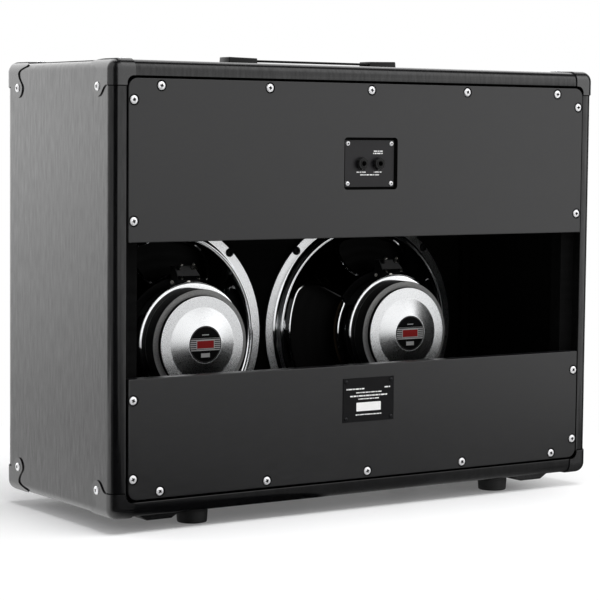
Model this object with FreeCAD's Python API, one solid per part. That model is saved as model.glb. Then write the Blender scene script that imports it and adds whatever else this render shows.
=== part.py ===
import FreeCAD, Part
import math
import os

# Guitar speaker cabinet with two 12 inch loudspeakers and a half-open back, in millimetres.
# +Z is up, the floor is Z = 0, the grille faces -Y and the open back faces +Y.
# Left and right are as seen from behind, so left is +X.

Vector = FreeCAD.Vector
X_AXIS = Vector(1, 0, 0)
Y_AXIS = Vector(0, 1, 0)
Z_AXIS = Vector(0, 0, 1)
SIDES = (("left", 1), ("right", -1))
cut_past = 1.0

# Carcass
cabinet_width = 740.0
cabinet_height = 543.0
cabinet_depth = 279.0
board_thickness = 18.0
covering_thickness = 0.6
edge_radius = 12.0
finger_count = 10

# Feet and skids under the cabinet
foot_height = 19.0
foot_top_radius = 20.0
foot_bottom_radius = 18.5
foot_from_side = 133.5
foot_from_end = 38.5
foot_screw_well_radius = 7.0
foot_screw_well_depth = 12.0
skid_clearance = 2.0
skid_bevel = 16.0
skid_height = 9.2
skid_from_rear = 23.0
skid_width = 30.0

# Rear panels: the upper one's edge below the cabinet's top, the lower one's above its underside
upper_panel_edge = 215.0
lower_panel_edge = 166.5
panel_thickness = 15.0
panel_proud = 1.5
panel_gap = 2.8
panel_side_gap = 1.5
panel_corner_radius = 12.0
panel_edge_round = 1.0
rear_batten_width = 22.0
rear_batten_depth = 20.0
screw_edge_inset = 8.5
screw_side_inset = 7.5
screw_corner_run = 25.5
screw_row_end = 44.5
screw_row_count = 5

# Wood screws with domed heads
screw_head_radius = 5.2
screw_head_height = 1.9
screw_shank_radius = 2.0
panel_screw_grip = 14.0
screw_seat_radius = 6.0
screw_seat_depth = 0.8
screw_clearance = 0.1
cross_width = 1.2
cross_length = 5.0
cross_depth = 1.4
head_rim_share = 0.33
head_crown_reach = 0.62
head_crown_rise = 0.85

# Jack plate, set in a pocket in the upper panel
jack_plate_width = 75.9
jack_plate_height = 58.8
jack_plate_thickness = 1.5
jack_plate_drop = 122.0
jack_plate_screw_inset = 4.2
jack_pocket_depth = 5.0
jack_pocket_clearance = 3.4
jack_pocket_radius = 4.8
jack_window_width = 58.0
jack_window_height = 36.0
plate_head_radius = 3.0
plate_head_height = 1.5
plate_shank_radius = 1.5
plate_screw_length = 9.0

# Jack sockets
jack_spacing = 25.7
jack_bore_radius = 3.25
jack_bore_depth = 30.0
jack_bush_radius = 4.8
jack_bush_proud = 6.4
jack_body_width = 22.0
jack_body_height = 24.0
jack_body_depth = 34.0
jack_nut_flats = 14.2
jack_nut_height = 6.0
jack_thread_clearance = 0.05
lug_width = 3.0
lug_thickness = 0.6
lug_length = 9.0
lug_spacing = 7.0

# Data plate on the lower panel
data_plate_width = 79.0
data_plate_height = 56.0
data_plate_thickness = 0.8
data_plate_level = 122.0
data_plate_screw_inset = 4.5
data_head_radius = 2.6

# Front: grille cloth on a frame, then the baffle
grille_recess = 2.5
cloth_thickness = 1.0
grille_frame_thickness = 8.0
grille_frame_width = 25.0
grille_side_gap = 1.5
baffle_thickness = 15.0
baffle_batten = 11.0

# Loudspeakers, two side by side between the side battens, as large as the room allows
speaker_side_room = 30.4
speaker_floor_room = 11.4
speaker_gap = 10.0
flange_width = 16.0
flange_thickness = 1.5
sheet_thickness = 1.5
cutout_step = 0.5
slot_inset = 4.0
slot_count = 4
slot_first_angle = 45.0
slot_radius = 3.2
gasket_thickness = 3.2
gasket_inset = 1.0
shoulder_step = 1.0
shoulder_rise = 9.5
dish_step = 4.0
dish_rise = 11.0
ledge_rise = 52.0
neck_rise = 78.0
neck_hole_step = 2.8
vent_radius = 1.6
vent_half_angle = 10.4
window_count = 4
side_window_half_angle = 34.7
top_window_half_angle = 30.0
window_rim = 7.5
side_window_foot = -5.0
top_window_foot = 4.0
window_corner_radius = 26.0
window_foot_radius = 9.0

# Motor
top_plate_thickness = 7.0
magnet_thickness = 19.5
back_plate_thickness = 6.0
boss_height = 7.0
pole_clearance = 0.8
coil_clearance = 0.9
magnet_hole_step = 7.8

# Moving cone assembly
former_radius = 22.2
former_wall = 0.5
coil_wall = 0.6
coil_length = 14.0
former_tail = 14.0
cone_wall = 0.9
surround_width = 16.0
cone_apex_rise = 46.0
cone_rim_rise = 2.5
dust_cap_height = 9.0
soft_wall = 0.8
surround_lap = 3.5
surround_rolls = 2
surround_roll_height = 2.0
spider_rolls = 5
spider_roll_height = 2.5
glue_gap = 0.05

# Terminal boards, which lean on a leg that stands on the ledge of each speaker frame
terminal_width = 36.0
terminal_top_width = 28.0
terminal_height = 24.0
terminal_thickness = 1.6
terminal_lean = 45.0
terminal_back = 2.5
terminal_clear = 2.5
terminal_leg_width = 32.0
terminal_foot = 1.0
tag_width = 4.8
tag_length = 9.0
tag_thickness = 0.8
tag_drop = 4.0
rivet_radius = 1.8
rivet_head_radius = 2.7
rivet_clearance = 0.05
rivet_head = 0.8
rivet_spacing = 25.0
rivet_up = 3.5

# Speaker fixing screws
speaker_head_radius = 5.9
speaker_head_height = 3.0
speaker_screw_grip = 11.0

# Corner protectors
corner_thickness = 1.5
corner_leg = 30.0
corner_flare = 56.0
corner_waist = 36.5
corner_waist_down = 13.0
corner_flare_down = 3.5
corner_lobe_radius = 12.0
corner_lobe_start = 3.0
corner_lobe_lead_share = 1.2
corner_lobe_dip = 2.0
corner_waist_ease = 6.0
corner_screw_in = 35.0
corner_screw_down = 31.5
corner_screw_grip = 14.0
corner_inner_radius = 9.0

# Strap handle on top
handle_pitch = 220.0
handle_cap_length = 44.0
handle_cap_width = 25.0
handle_cap_height = 11.4
handle_cap_wall = 1.8
handle_cap_round = 3.0
strap_width = 20.0
strap_thickness = 2.4
strap_rise = 6.0
strap_core = 1.2
strap_fit = 0.4
strap_core_reach = 12.0
strap_slot_length = 14.0
strap_end_run = 10.0
stud_radius = 5.0
stud_neck_radius = 3.0
stud_head_radius = 6.0
stud_head_height = 1.3
stud_grip = 14.0
stud_fit = 0.2

# Places that follow from the sizes above
rail = board_thickness + covering_thickness
underside = foot_height
top = underside + cabinet_height
half_width = cabinet_width / 2
rear = cabinet_depth / 2
front = -rear
inner_half = half_width - rail
inner_low = underside + rail
inner_high = top - rail
middle = (underside + top) / 2
panel_rear = rear + panel_proud
panel_front = panel_rear - panel_thickness
panel_half = inner_half - panel_side_gap
panel_low = inner_low + panel_gap
panel_high = inner_high - panel_gap
upper_edge = top - upper_panel_edge
lower_edge = underside + lower_panel_edge
batten_front = panel_front - rear_batten_depth
cloth_front = front + grille_recess
frame_front = cloth_front + cloth_thickness
baffle_front = frame_front + grille_frame_thickness
baffle_rear = baffle_front + baffle_thickness
seat = baffle_rear + gasket_thickness
flange_front = seat + soft_wall
flange_rear = flange_front + flange_thickness
flange_radius = (inner_half - speaker_side_room - speaker_gap / 2) / 2
flange_inner_radius = flange_radius - flange_width
speaker_spacing = 2 * flange_radius + speaker_gap
speaker_z = inner_low + speaker_floor_room + flange_radius
cutout_radius = flange_inner_radius - cutout_step
slot_circle_radius = flange_radius - slot_inset
shoulder_radius = flange_inner_radius - shoulder_step
dish_radius = shoulder_radius - dish_step
ledge_radius = 0.519 * flange_radius
neck_radius = 0.453 * flange_radius
window_outer_radius = dish_radius - window_rim
side_window_inner_radius = ledge_radius + side_window_foot
top_window_inner_radius = ledge_radius + top_window_foot
top_plate_radius = 0.494 * flange_radius
magnet_radius = 0.443 * flange_radius
back_plate_radius = 0.392 * flange_radius
boss_base_radius = 0.297 * flange_radius
boss_top_radius = 0.1545 * flange_radius
dust_cap_radius = 0.2533 * flange_radius
cone_rim_radius = flange_inner_radius - surround_width
surround_seat_radius = flange_inner_radius + surround_lap
ledge_rear = flange_rear + ledge_rise
ledge_front = ledge_rear - sheet_thickness
neck_rear = flange_rear + neck_rise
magnet_front = neck_rear + top_plate_thickness
magnet_rear = magnet_front + magnet_thickness
back_plate_rear = magnet_rear + back_plate_thickness
cone_apex = flange_rear + cone_apex_rise
cone_rim = flange_rear + cone_rim_rise
former_front = cone_apex - cone_wall
former_rear = neck_rear + former_tail
former_outer = former_radius + former_wall
pole_radius = former_radius - pole_clearance
gap_radius = former_outer + coil_wall + coil_clearance
neck_hole_radius = gap_radius + neck_hole_step
magnet_hole_radius = gap_radius + magnet_hole_step
jack_floor = panel_rear - jack_pocket_depth
jack_plate_rear = jack_floor + jack_plate_thickness
jack_z = top - jack_plate_drop
data_z = underside + data_plate_level
data_plate_rear = panel_rear + data_plate_thickness
grip_length = handle_pitch - handle_cap_length - 2 * strap_end_run
strap_low = top + strap_rise
strap_high = strap_low + strap_thickness
core_low = strap_low + (strap_thickness - strap_core) / 2
core_high = core_low + strap_core


def block(x0, x1, y0, y1, z0, z1):
    """A box between two corners."""
    return Part.makeBox(x1 - x0, y1 - y0, z1 - z0, Vector(x0, y0, z0))


def joined(shapes):
    """Several touching solids as one clean solid."""
    if len(shapes) == 1:
        return shapes[0]
    return shapes[0].multiFuse(shapes[1:]).removeSplitter()


def edges_along(shape, axis):
    """The straight edges of a shape that run along an axis."""
    found = []
    for edge in shape.Edges:
        if isinstance(edge.Curve, Part.Line) and abs(abs(edge.Curve.Direction.dot(axis)) - 1) < 1e-6:
            found.append(edge)
    return found


def rounded_case(grow):
    """The cabinet's outer form with all its edges rounded, grown or shrunk evenly."""
    case = block(-half_width - grow, half_width + grow, front - grow, rear + grow,
                 underside - grow, top + grow)
    return case.makeFillet(edge_radius + grow, case.Edges)


def through_opening(corner_radius):
    """The opening from front to back inside the four boards."""
    reach = corner_thickness + cut_past
    opening = block(-inner_half, inner_half, front - reach, rear + reach, inner_low, inner_high)
    if corner_radius > 0:
        opening = opening.makeFillet(corner_radius, edges_along(opening, Y_AXIS))
    return opening


def turned(points, x):
    """A solid turned about a speaker's axis from (radius, depth) points."""
    outline = [Vector(x + radius, depth, speaker_z) for radius, depth in points]
    face = Part.Face(Part.makePolygon(outline + outline[:1]))
    return face.revolve(Vector(x, 0, speaker_z), Y_AXIS, 360)


def tube(x, outer, inner, y0, y1):
    """A plain ring on a speaker's axis."""
    return turned([(inner, y0), (outer, y0), (outer, y1), (inner, y1)], x)


def turn_to(shape, direction):
    """Turns a shape made along +Y so that it points along a direction."""
    turned_shape = shape.copy()
    turned_shape.Placement = FreeCAD.Placement(Vector(0, 0, 0), FreeCAD.Rotation(Y_AXIS, direction))
    return turned_shape


def domed_screw(head_radius, head_height, shank_radius, length):
    """A screw along -Y whose domed head stands on Y = 0, with a cross recess."""
    rim = head_height * head_rim_share
    way = Vector(head_radius * head_crown_reach, head_height * head_crown_rise, 0)
    crown = Part.Arc(Vector(head_radius, rim, 0), way, Vector(0, head_height, 0)).toShape()
    sides = Part.makePolygon([Vector(0, head_height, 0), Vector(0, -length, 0),
                              Vector(shank_radius, -length, 0), Vector(shank_radius, 0, 0),
                              Vector(head_radius, 0, 0), Vector(head_radius, rim, 0)])
    face = Part.Face(Part.Wire([crown] + sides.Edges))
    screw = face.revolve(Vector(0, 0, 0), Y_AXIS, 360)
    size = head_radius / screw_head_radius
    arm = cross_length * size / 2
    half = cross_width * size / 2
    floor = head_height - cross_depth * size
    across = block(-arm, arm, floor, head_height + cut_past, -half, half)
    upright = block(-half, half, floor, head_height + cut_past, -arm, arm)
    return screw.cut(across.fuse(upright))


def copies(shape, places):
    """Copies of one solid at several places, as a group of separate solids."""
    group = []
    for place in places:
        copy = shape.copy()
        copy.translate(place)
        group.append(copy)
    return Part.makeCompound(group)


def drill(shape, places, direction, radius, start, end):
    """Holes at several places, from start to end along a direction."""
    holes = []
    for place in places:
        holes.append(Part.makeCylinder(radius, end - start, place + direction * start, direction))
    return shape.cut(holes)


def foot_places():
    """Where each foot meets the underside."""
    x = half_width - foot_from_side
    y = rear - foot_from_end
    return [Vector(sx * x, sy * y, underside) for sx in (1, -1) for sy in (1, -1)]


def stud_places():
    """Where the handle's studs enter the top."""
    return [Vector(sign * handle_pitch / 2, 0, top) for name, sign in SIDES]


def corner_side_places():
    """Where the corner protectors' screws enter the two sides, with their directions."""
    x = half_width + corner_thickness
    y = rear - corner_screw_in
    z = cabinet_height / 2 - corner_screw_down
    spots = []
    for sx in (1, -1):
        for sy in (1, -1):
            for sz in (1, -1):
                spots.append((Vector(sx * x, sy * y, middle + sz * z), Vector(sx, 0, 0)))
    return spots


def corner_end_places():
    """Where the corner protectors' screws enter the top and the underside."""
    x = half_width - corner_screw_down
    y = rear - corner_screw_in
    z = cabinet_height / 2 + corner_thickness
    spots = []
    for sx in (1, -1):
        for sy in (1, -1):
            for sz in (1, -1):
                spots.append((Vector(sx * x, sy * y, middle + sz * z), Vector(0, 0, sz)))
    return spots


def carcass_holes():
    """Every hole that fasteners make through the covering into the boards."""
    holes = []
    radius = screw_shank_radius + screw_clearance
    for place, direction in corner_side_places() + corner_end_places():
        depth = corner_thickness + corner_screw_grip + screw_clearance
        holes.append(Part.makeCylinder(radius, depth, place, direction * -1))
    for place in foot_places():
        holes.append(Part.makeCylinder(radius, corner_screw_grip + screw_clearance, place, Z_AXIS))
    for place in stud_places():
        depth = stud_grip + screw_clearance
        stud = Part.makeCylinder(stud_neck_radius + screw_clearance, depth, place, Z_AXIS * -1)
        holes.append(stud)
    return holes


def vinyl_covering():
    """The covering round the outside of the carcass and over its front and rear edges."""
    shell = rounded_case(0).cut(rounded_case(-covering_thickness))
    return shell.cut([through_opening(0)] + carcass_holes())


def corner_fingers(sx, low, high, parity):
    """Every second finger of a corner joint, as boxes."""
    pitch = cabinet_depth / finger_count
    inner = sx * inner_half
    outer = sx * half_width
    boxes = []
    for index in range(parity, finger_count, 2):
        start = front + index * pitch
        boxes.append(block(min(inner, outer), max(inner, outer), start, start + pitch, low, high))
    return boxes


def carcass_boards():
    """The four boards, finger jointed at the corners."""
    ring = rounded_case(-covering_thickness).cut([through_opening(0)] + carcass_holes())
    levels = {"bottom": (underside, inner_low), "top": (inner_high, top)}
    boards = {}
    for name, (low, high) in levels.items():
        pieces = [block(-inner_half, inner_half, front, rear, low, high)]
        for side, sx in SIDES:
            pieces += corner_fingers(sx, low, high, 0)
        boards[name + "_board"] = ring.common(joined(pieces))
    for side, sx in SIDES:
        inner = sx * inner_half
        outer = sx * half_width
        pieces = [block(min(inner, outer), max(inner, outer), front, rear, inner_low, inner_high)]
        for low, high in levels.values():
            pieces += corner_fingers(sx, low, high, 1)
        boards[side + "_board"] = ring.common(joined(pieces))
    return boards


def speaker_x(sign):
    """The place of a speaker's axis across the cabinet."""
    return sign * speaker_spacing / 2


def slot_places(x, depth):
    """The fixing points round one speaker's flange."""
    spots = []
    for index in range(slot_count):
        angle = math.radians(slot_first_angle + index * 360 / slot_count)
        spots.append(Vector(x + slot_circle_radius * math.cos(angle), depth,
                            speaker_z + slot_circle_radius * math.sin(angle)))
    return spots


def baffle_board():
    """The baffle with its two speaker cut-outs and pilot holes."""
    board = block(-inner_half, inner_half, baffle_front, baffle_rear, inner_low, inner_high)
    radius = screw_shank_radius + screw_clearance
    for side, sign in SIDES:
        x = speaker_x(sign)
        hole = Part.makeCylinder(cutout_radius, baffle_thickness, Vector(x, baffle_front, speaker_z), Y_AXIS)
        board = board.cut(hole)
        board = drill(board, slot_places(x, baffle_rear), Y_AXIS * -1, radius, 0, speaker_screw_grip)
    return board


def strip_ring(width, y0, y1):
    """Four strips round the inside of the carcass, uprights full height."""
    strips = []
    for side, sign in SIDES:
        inner = sign * (inner_half - width)
        outer = sign * inner_half
        strips.append(block(min(inner, outer), max(inner, outer), y0, y1, inner_low, inner_high))
    reach = inner_half - width
    strips.append(block(-reach, reach, y0, y1, inner_low, inner_low + width))
    strips.append(block(-reach, reach, y0, y1, inner_high - width, inner_high))
    return strips


def baffle_battens():
    """The strips that hold the baffle from behind."""
    return Part.makeCompound(strip_ring(baffle_batten, baffle_rear, baffle_rear + baffle_batten))


def rear_battens():
    """The strips that the rear panels are screwed to."""
    radius = screw_shank_radius + screw_clearance
    places = panel_screw_places("upper") + panel_screw_places("lower")
    strips = []
    for strip in strip_ring(rear_batten_width, batten_front, panel_front):
        strips.append(drill(strip, places, Y_AXIS * -1, radius, 0, panel_thickness + panel_screw_grip))
    return Part.makeCompound(strips)


def grille_frame():
    """The frame behind the grille cloth, with an upright in the middle."""
    x = inner_half - grille_side_gap
    low = inner_low + grille_side_gap
    high = inner_high - grille_side_gap
    width = grille_frame_width
    plate = block(-x, x, frame_front, baffle_front, low, high)
    bays = []
    for side, sign in SIDES:
        inner = sign * width / 2
        outer = sign * (x - width)
        bays.append(block(min(inner, outer), max(inner, outer), frame_front, baffle_front,
                          low + width, high - width))
    return plate.cut(bays)


def grille_cloth():
    """The cloth stretched over the front of the grille frame."""
    x = inner_half - grille_side_gap
    return block(-x, x, cloth_front, frame_front, inner_low + grille_side_gap, inner_high - grille_side_gap)


def panel_screw_places(which):
    """Screw places round the outer edges of one rear panel."""
    if which == "upper":
        outer, slot, inward = panel_high, upper_edge, -1
    else:
        outer, slot, inward = panel_low, lower_edge, 1
    row_z = outer + inward * screw_edge_inset
    spots = []
    for index in range(screw_row_count):
        share = 2 * index / (screw_row_count - 1) - 1
        spots.append(Vector(share * (panel_half - screw_row_end), panel_rear, row_z))
    for side, sign in SIDES:
        x = sign * (panel_half - screw_side_inset)
        spots.append(Vector(x, panel_rear, outer + inward * screw_corner_run))
        spots.append(Vector(x, panel_rear, slot - inward * screw_corner_run))
    return spots


def rear_panel(which):
    """One rear panel, rounded at its two outer corners and softened on its rear edges."""
    if which == "upper":
        low, high, outer = upper_edge, panel_high, panel_high
    else:
        low, high, outer = panel_low, lower_edge, panel_low
    panel = block(-panel_half, panel_half, panel_front, panel_rear, low, high)
    corners = [edge for edge in edges_along(panel, Y_AXIS) if abs(edge.CenterOfMass.z - outer) < 1e-6]
    panel = panel.makeFillet(panel_corner_radius, corners)
    rim = [edge for edge in panel.Edges if abs(edge.BoundBox.YMin - panel_rear) < 1e-6]
    panel = panel.makeFillet(panel_edge_round, rim)
    places = panel_screw_places(which)
    panel = drill(panel, places, Y_AXIS * -1, screw_seat_radius, 0, screw_seat_depth)
    return drill(panel, places, Y_AXIS * -1, screw_shank_radius + screw_clearance, 0, panel_thickness)


def plate_screw_places(width, height, inset, depth, level):
    """Screw places at the four corners of a plate."""
    x = width / 2 - inset
    z = height / 2 - inset
    return [Vector(sx * x, depth, level + sz * z) for sx in (1, -1) for sz in (1, -1)]


def jack_screw_places(depth):
    """Screw places of the jack plate."""
    return plate_screw_places(jack_plate_width, jack_plate_height, jack_plate_screw_inset, depth, jack_z)


def data_screw_places(depth):
    """Screw places of the data plate."""
    return plate_screw_places(data_plate_width, data_plate_height, data_plate_screw_inset, depth, data_z)


def upper_rear_panel():
    """The upper rear panel with the pocket and the window for the jack plate."""
    half = jack_plate_width / 2 + jack_pocket_clearance
    rise = jack_plate_height / 2 + jack_pocket_clearance
    pocket = block(-half, half, jack_floor, panel_rear + cut_past, jack_z - rise, jack_z + rise)
    pocket = pocket.makeFillet(jack_pocket_radius, edges_along(pocket, Y_AXIS))
    window = block(-jack_window_width / 2, jack_window_width / 2, panel_front, jack_floor,
                   jack_z - jack_window_height / 2, jack_z + jack_window_height / 2)
    panel = rear_panel("upper").cut([pocket, window])
    reach = plate_screw_length - jack_plate_thickness + screw_clearance
    return drill(panel, jack_screw_places(jack_floor), Y_AXIS * -1,
                 plate_shank_radius + screw_clearance, 0, reach)


def lower_rear_panel():
    """The lower rear panel with the pilot holes for the data plate."""
    reach = plate_screw_length - data_plate_thickness + screw_clearance
    return drill(rear_panel("lower"), data_screw_places(panel_rear), Y_AXIS * -1,
                 plate_shank_radius + screw_clearance, 0, reach)


def panel_screws():
    """The screws that hold both rear panels."""
    screw = domed_screw(screw_head_radius, screw_head_height, screw_shank_radius,
                        panel_thickness - screw_seat_depth + panel_screw_grip)
    places = panel_screw_places("upper") + panel_screw_places("lower")
    return copies(screw, [place - Y_AXIS * screw_seat_depth for place in places])


def jack_plate():
    """The plate that carries the two jacks."""
    x = jack_plate_width / 2
    z = jack_plate_height / 2
    plate = block(-x, x, jack_floor, jack_plate_rear, jack_z - z, jack_z + z)
    plate = plate.makeFillet(jack_pocket_radius - jack_pocket_clearance, edges_along(plate, Y_AXIS))
    bushes = [Vector(sign * jack_spacing / 2, jack_floor, jack_z) for side, sign in SIDES]
    plate = drill(plate, bushes, Y_AXIS, jack_bush_radius + jack_thread_clearance, 0, jack_plate_thickness)
    return drill(plate, jack_screw_places(jack_floor), Y_AXIS,
                 plate_shank_radius + screw_clearance, 0, jack_plate_thickness)


def plate_screws(head_radius, places):
    """Small domed screws for a plate."""
    return copies(domed_screw(head_radius, plate_head_height, plate_shank_radius, plate_screw_length), places)


def jack_body(sign):
    """One jack: its housing behind the plate, its bush through the plate and the plug's bore."""
    x = sign * jack_spacing / 2
    inner = jack_floor - jack_body_depth
    outer = jack_plate_rear + jack_bush_proud
    housing = block(x - jack_body_width / 2, x + jack_body_width / 2, inner, jack_floor,
                    jack_z - jack_body_height / 2, jack_z + jack_body_height / 2)
    bush = Part.makeCylinder(jack_bush_radius, outer - jack_floor, Vector(x, jack_floor, jack_z), Y_AXIS)
    bore = Part.makeCylinder(jack_bore_radius, jack_bore_depth, Vector(x, outer, jack_z), Y_AXIS * -1)
    return housing.fuse(bush).cut(bore)


def jack_nuts():
    """The hexagon nuts that clamp the jacks to their plate."""
    corner = jack_nut_flats / math.sqrt(3)
    outline = []
    for index in range(6):
        angle = math.radians(60 * index)
        outline.append(Vector(corner * math.cos(angle), 0, corner * math.sin(angle)))
    nut = Part.Face(Part.makePolygon(outline + outline[:1])).extrude(Y_AXIS * jack_nut_height)
    nut = drill(nut, [Vector(0, 0, 0)], Y_AXIS, jack_bush_radius + jack_thread_clearance, 0, jack_nut_height)
    return copies(nut, [Vector(sign * jack_spacing / 2, jack_plate_rear, jack_z) for side, sign in SIDES])


def jack_contacts():
    """The solder lugs at the inner end of each jack."""
    inner = jack_floor - jack_body_depth
    lug = block(-lug_width / 2, lug_width / 2, -lug_length, 0, -lug_thickness / 2, lug_thickness / 2)
    places = []
    for side, sign in SIDES:
        for step in (-1, 0, 1):
            places.append(Vector(sign * jack_spacing / 2, inner, jack_z + step * lug_spacing))
    return copies(lug, places)


def data_plate():
    """The bare plate on the lower panel."""
    x = data_plate_width / 2
    z = data_plate_height / 2
    plate = block(-x, x, panel_rear, data_plate_rear, data_z - z, data_z + z)
    return drill(plate, data_screw_places(panel_rear), Y_AXIS,
                 plate_shank_radius + screw_clearance, 0, data_plate_thickness)


def frame_window(x, index):
    """The cutter for one window between the spokes of a speaker frame."""
    middle_angle = index * 360 / window_count
    beside = index % 2 == 0
    half_angle = side_window_half_angle if beside else top_window_half_angle
    inner_radius = side_window_inner_radius if beside else top_window_inner_radius
    start = math.radians(middle_angle - half_angle)
    end = math.radians(middle_angle + half_angle)
    half = math.radians(middle_angle)

    def at(radius, angle):
        return Vector(x + radius * math.cos(angle), flange_rear, speaker_z + radius * math.sin(angle))

    outer = Part.Arc(at(window_outer_radius, start), at(window_outer_radius, half),
                     at(window_outer_radius, end)).toShape()
    inner = Part.Arc(at(inner_radius, end), at(inner_radius, half), at(inner_radius, start)).toShape()
    side_in = Part.makeLine(at(window_outer_radius, end), at(inner_radius, end))
    side_out = Part.makeLine(at(inner_radius, start), at(window_outer_radius, start))
    face = Part.Face(Part.Wire([outer, side_in, inner, side_out]))
    cutter = face.extrude(Y_AXIS * neck_rise)
    parting = (window_outer_radius + inner_radius) / 2
    centre = Vector(x, 0, speaker_z)
    for radius, outside in ((window_corner_radius, True), (window_foot_radius, False)):
        corners = []
        for edge in edges_along(cutter, Y_AXIS):
            spot = edge.CenterOfMass
            away = Vector(spot.x, 0, spot.z).distanceToPoint(centre)
            sharp = min(abs(away - window_outer_radius), abs(away - inner_radius)) < glue_gap
            if sharp and (away > parting) == outside:
                corners.append(edge)
        cutter = cutter.makeFillet(radius, corners)
    return cutter


def speaker_frame(sign):
    """The pressed frame: flange, shoulder, windowed dish, ledge and neck."""
    x = speaker_x(sign)
    t = sheet_thickness
    rear_side = [(flange_radius, flange_rear), (flange_inner_radius, flange_rear),
                 (shoulder_radius, flange_rear + shoulder_rise), (dish_radius, flange_rear + dish_rise),
                 (ledge_radius, ledge_rear), (neck_radius, ledge_rear), (neck_radius, neck_rear),
                 (neck_hole_radius, neck_rear)]
    front_side = [(neck_hole_radius, neck_rear - t), (neck_radius - t, neck_rear - t),
                  (neck_radius - t, ledge_front), (ledge_radius - t / 2, ledge_front),
                  (dish_radius - t / 2, flange_rear + dish_rise - t),
                  (shoulder_radius - t, flange_rear + shoulder_rise - t),
                  (flange_inner_radius - t, flange_front), (flange_radius, flange_front)]
    frame = turned(rear_side + front_side, x)
    frame = frame.cut([frame_window(x, index) for index in range(window_count)])
    notches = []
    for place in slot_places(x, flange_front):
        out = (place - Vector(x, flange_front, speaker_z)).normalize()
        notches.append(Part.makeCylinder(slot_radius, flange_thickness, place, Y_AXIS))
        mouth = block(0, flange_radius - slot_circle_radius + slot_radius, 0, flange_thickness,
                      -slot_radius, slot_radius)
        mouth.Placement = FreeCAD.Placement(place, FreeCAD.Rotation(X_AXIS, out))
        notches.append(mouth)
    frame = frame.cut(notches)
    vents = []
    for turn in (vent_half_angle, -vent_half_angle, 180 + vent_half_angle, 180 - vent_half_angle):
        angle = math.radians(turn)
        out = Vector(math.cos(angle), 0, math.sin(angle))
        start = Vector(x, (ledge_rear + neck_rear) / 2, speaker_z) + out * (neck_radius - 2 * t)
        vents.append(Part.makeCylinder(vent_radius, 3 * t, start, out))
    board_bottom = terminal_bottom()
    for step in (-1, 1):
        place = Vector(x + step * rivet_spacing / 2, ledge_front, board_bottom + rivet_up)
        vents.append(Part.makeCylinder(rivet_radius + rivet_clearance, sheet_thickness, place, Y_AXIS))
    return frame.cut(vents)


def speaker_gaskets():
    """The ring under each flange."""
    rings = []
    for side, sign in SIDES:
        x = speaker_x(sign)
        ring = tube(x, flange_radius - gasket_inset, cutout_radius, baffle_rear, seat)
        rings.append(drill(ring, slot_places(x, baffle_rear), Y_AXIS, screw_shank_radius + screw_clearance,
                           0, gasket_thickness))
    return Part.makeCompound(rings)


def speaker_screws():
    """The dark screws in the slots of both flanges."""
    length = flange_rear - baffle_rear + speaker_screw_grip - screw_clearance
    screw = domed_screw(speaker_head_radius, speaker_head_height, screw_shank_radius, length)
    places = []
    for side, sign in SIDES:
        places += slot_places(speaker_x(sign), flange_rear)
    return copies(screw, places)


def top_plate(sign):
    """The front plate of the motor, on the frame's neck."""
    return tube(speaker_x(sign), top_plate_radius, gap_radius, neck_rear, magnet_front)


def magnet(sign):
    """The ferrite ring."""
    return tube(speaker_x(sign), magnet_radius, magnet_hole_radius, magnet_front, magnet_rear)


def yoke(sign):
    """The back plate with its raised boss behind and the pole in front."""
    return turned([(0, neck_rear), (pole_radius, neck_rear), (pole_radius, magnet_rear),
                   (back_plate_radius, magnet_rear), (back_plate_radius, back_plate_rear),
                   (boss_base_radius, back_plate_rear), (boss_top_radius, back_plate_rear + boss_height),
                   (0, back_plate_rear + boss_height)], speaker_x(sign))


def voice_coil(sign):
    """The former with its winding in the magnet gap."""
    coil_front = neck_rear + top_plate_thickness / 2 - coil_length / 2
    coil_rear = coil_front + coil_length
    coil_outer = former_outer + coil_wall
    return turned([(former_radius, former_front), (former_outer, former_front), (former_outer, coil_front),
                   (coil_outer, coil_front), (coil_outer, coil_rear), (former_outer, coil_rear),
                   (former_outer, former_rear), (former_radius, former_rear)], speaker_x(sign))


def cone_depth(radius):
    """The depth of the cone's rear face at a radius."""
    share = (radius - former_outer) / (cone_rim_radius - former_outer)
    return cone_apex + share * (cone_rim - cone_apex)


def cone(sign):
    """The paper cone, glued to the front of the former."""
    return turned([(former_outer, cone_apex), (cone_rim_radius, cone_rim),
                   (cone_rim_radius, cone_rim - cone_wall), (former_outer, cone_apex - cone_wall)],
                  speaker_x(sign))


def dust_cap(sign):
    """The dome over the coil, on the front of the cone."""
    x = speaker_x(sign)
    rim = cone_depth(dust_cap_radius) - cone_wall - glue_gap

    def curve(radius, height):
        ball = (radius ** 2 + height ** 2) / (2 * height)
        half = math.asin(radius / ball) / 2
        way = Vector(x + ball * math.sin(half), rim - height + ball * (1 - math.cos(half)), speaker_z)
        return Part.Arc(Vector(x + radius, rim, speaker_z), way, Vector(x, rim - height, speaker_z)).toShape()

    outer = curve(dust_cap_radius, dust_cap_height)
    inner = curve(dust_cap_radius - soft_wall, dust_cap_height - soft_wall)
    foot = Part.makeLine(inner.Vertexes[0].Point, outer.Vertexes[0].Point)
    crown = Part.makeLine(outer.Vertexes[1].Point, inner.Vertexes[1].Point)
    face = Part.Face(Part.Wire([outer, crown, inner, foot]))
    return face.revolve(Vector(x, 0, speaker_z), Y_AXIS, 360)


def rolled_ring(x, inner, outer, level_in, level_out, rolls, height):
    """A soft ring pressed into concentric rolls."""
    upper = []
    steps = 4 * rolls
    for index in range(steps + 1):
        share = index / steps
        wave = height * math.sin(2 * math.pi * rolls * share)
        upper.append((inner + share * (outer - inner), level_in + share * (level_out - level_in) + wave))
    lower = [(radius, depth - soft_wall) for radius, depth in reversed(upper)]
    return turned(upper + lower, x)


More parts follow.
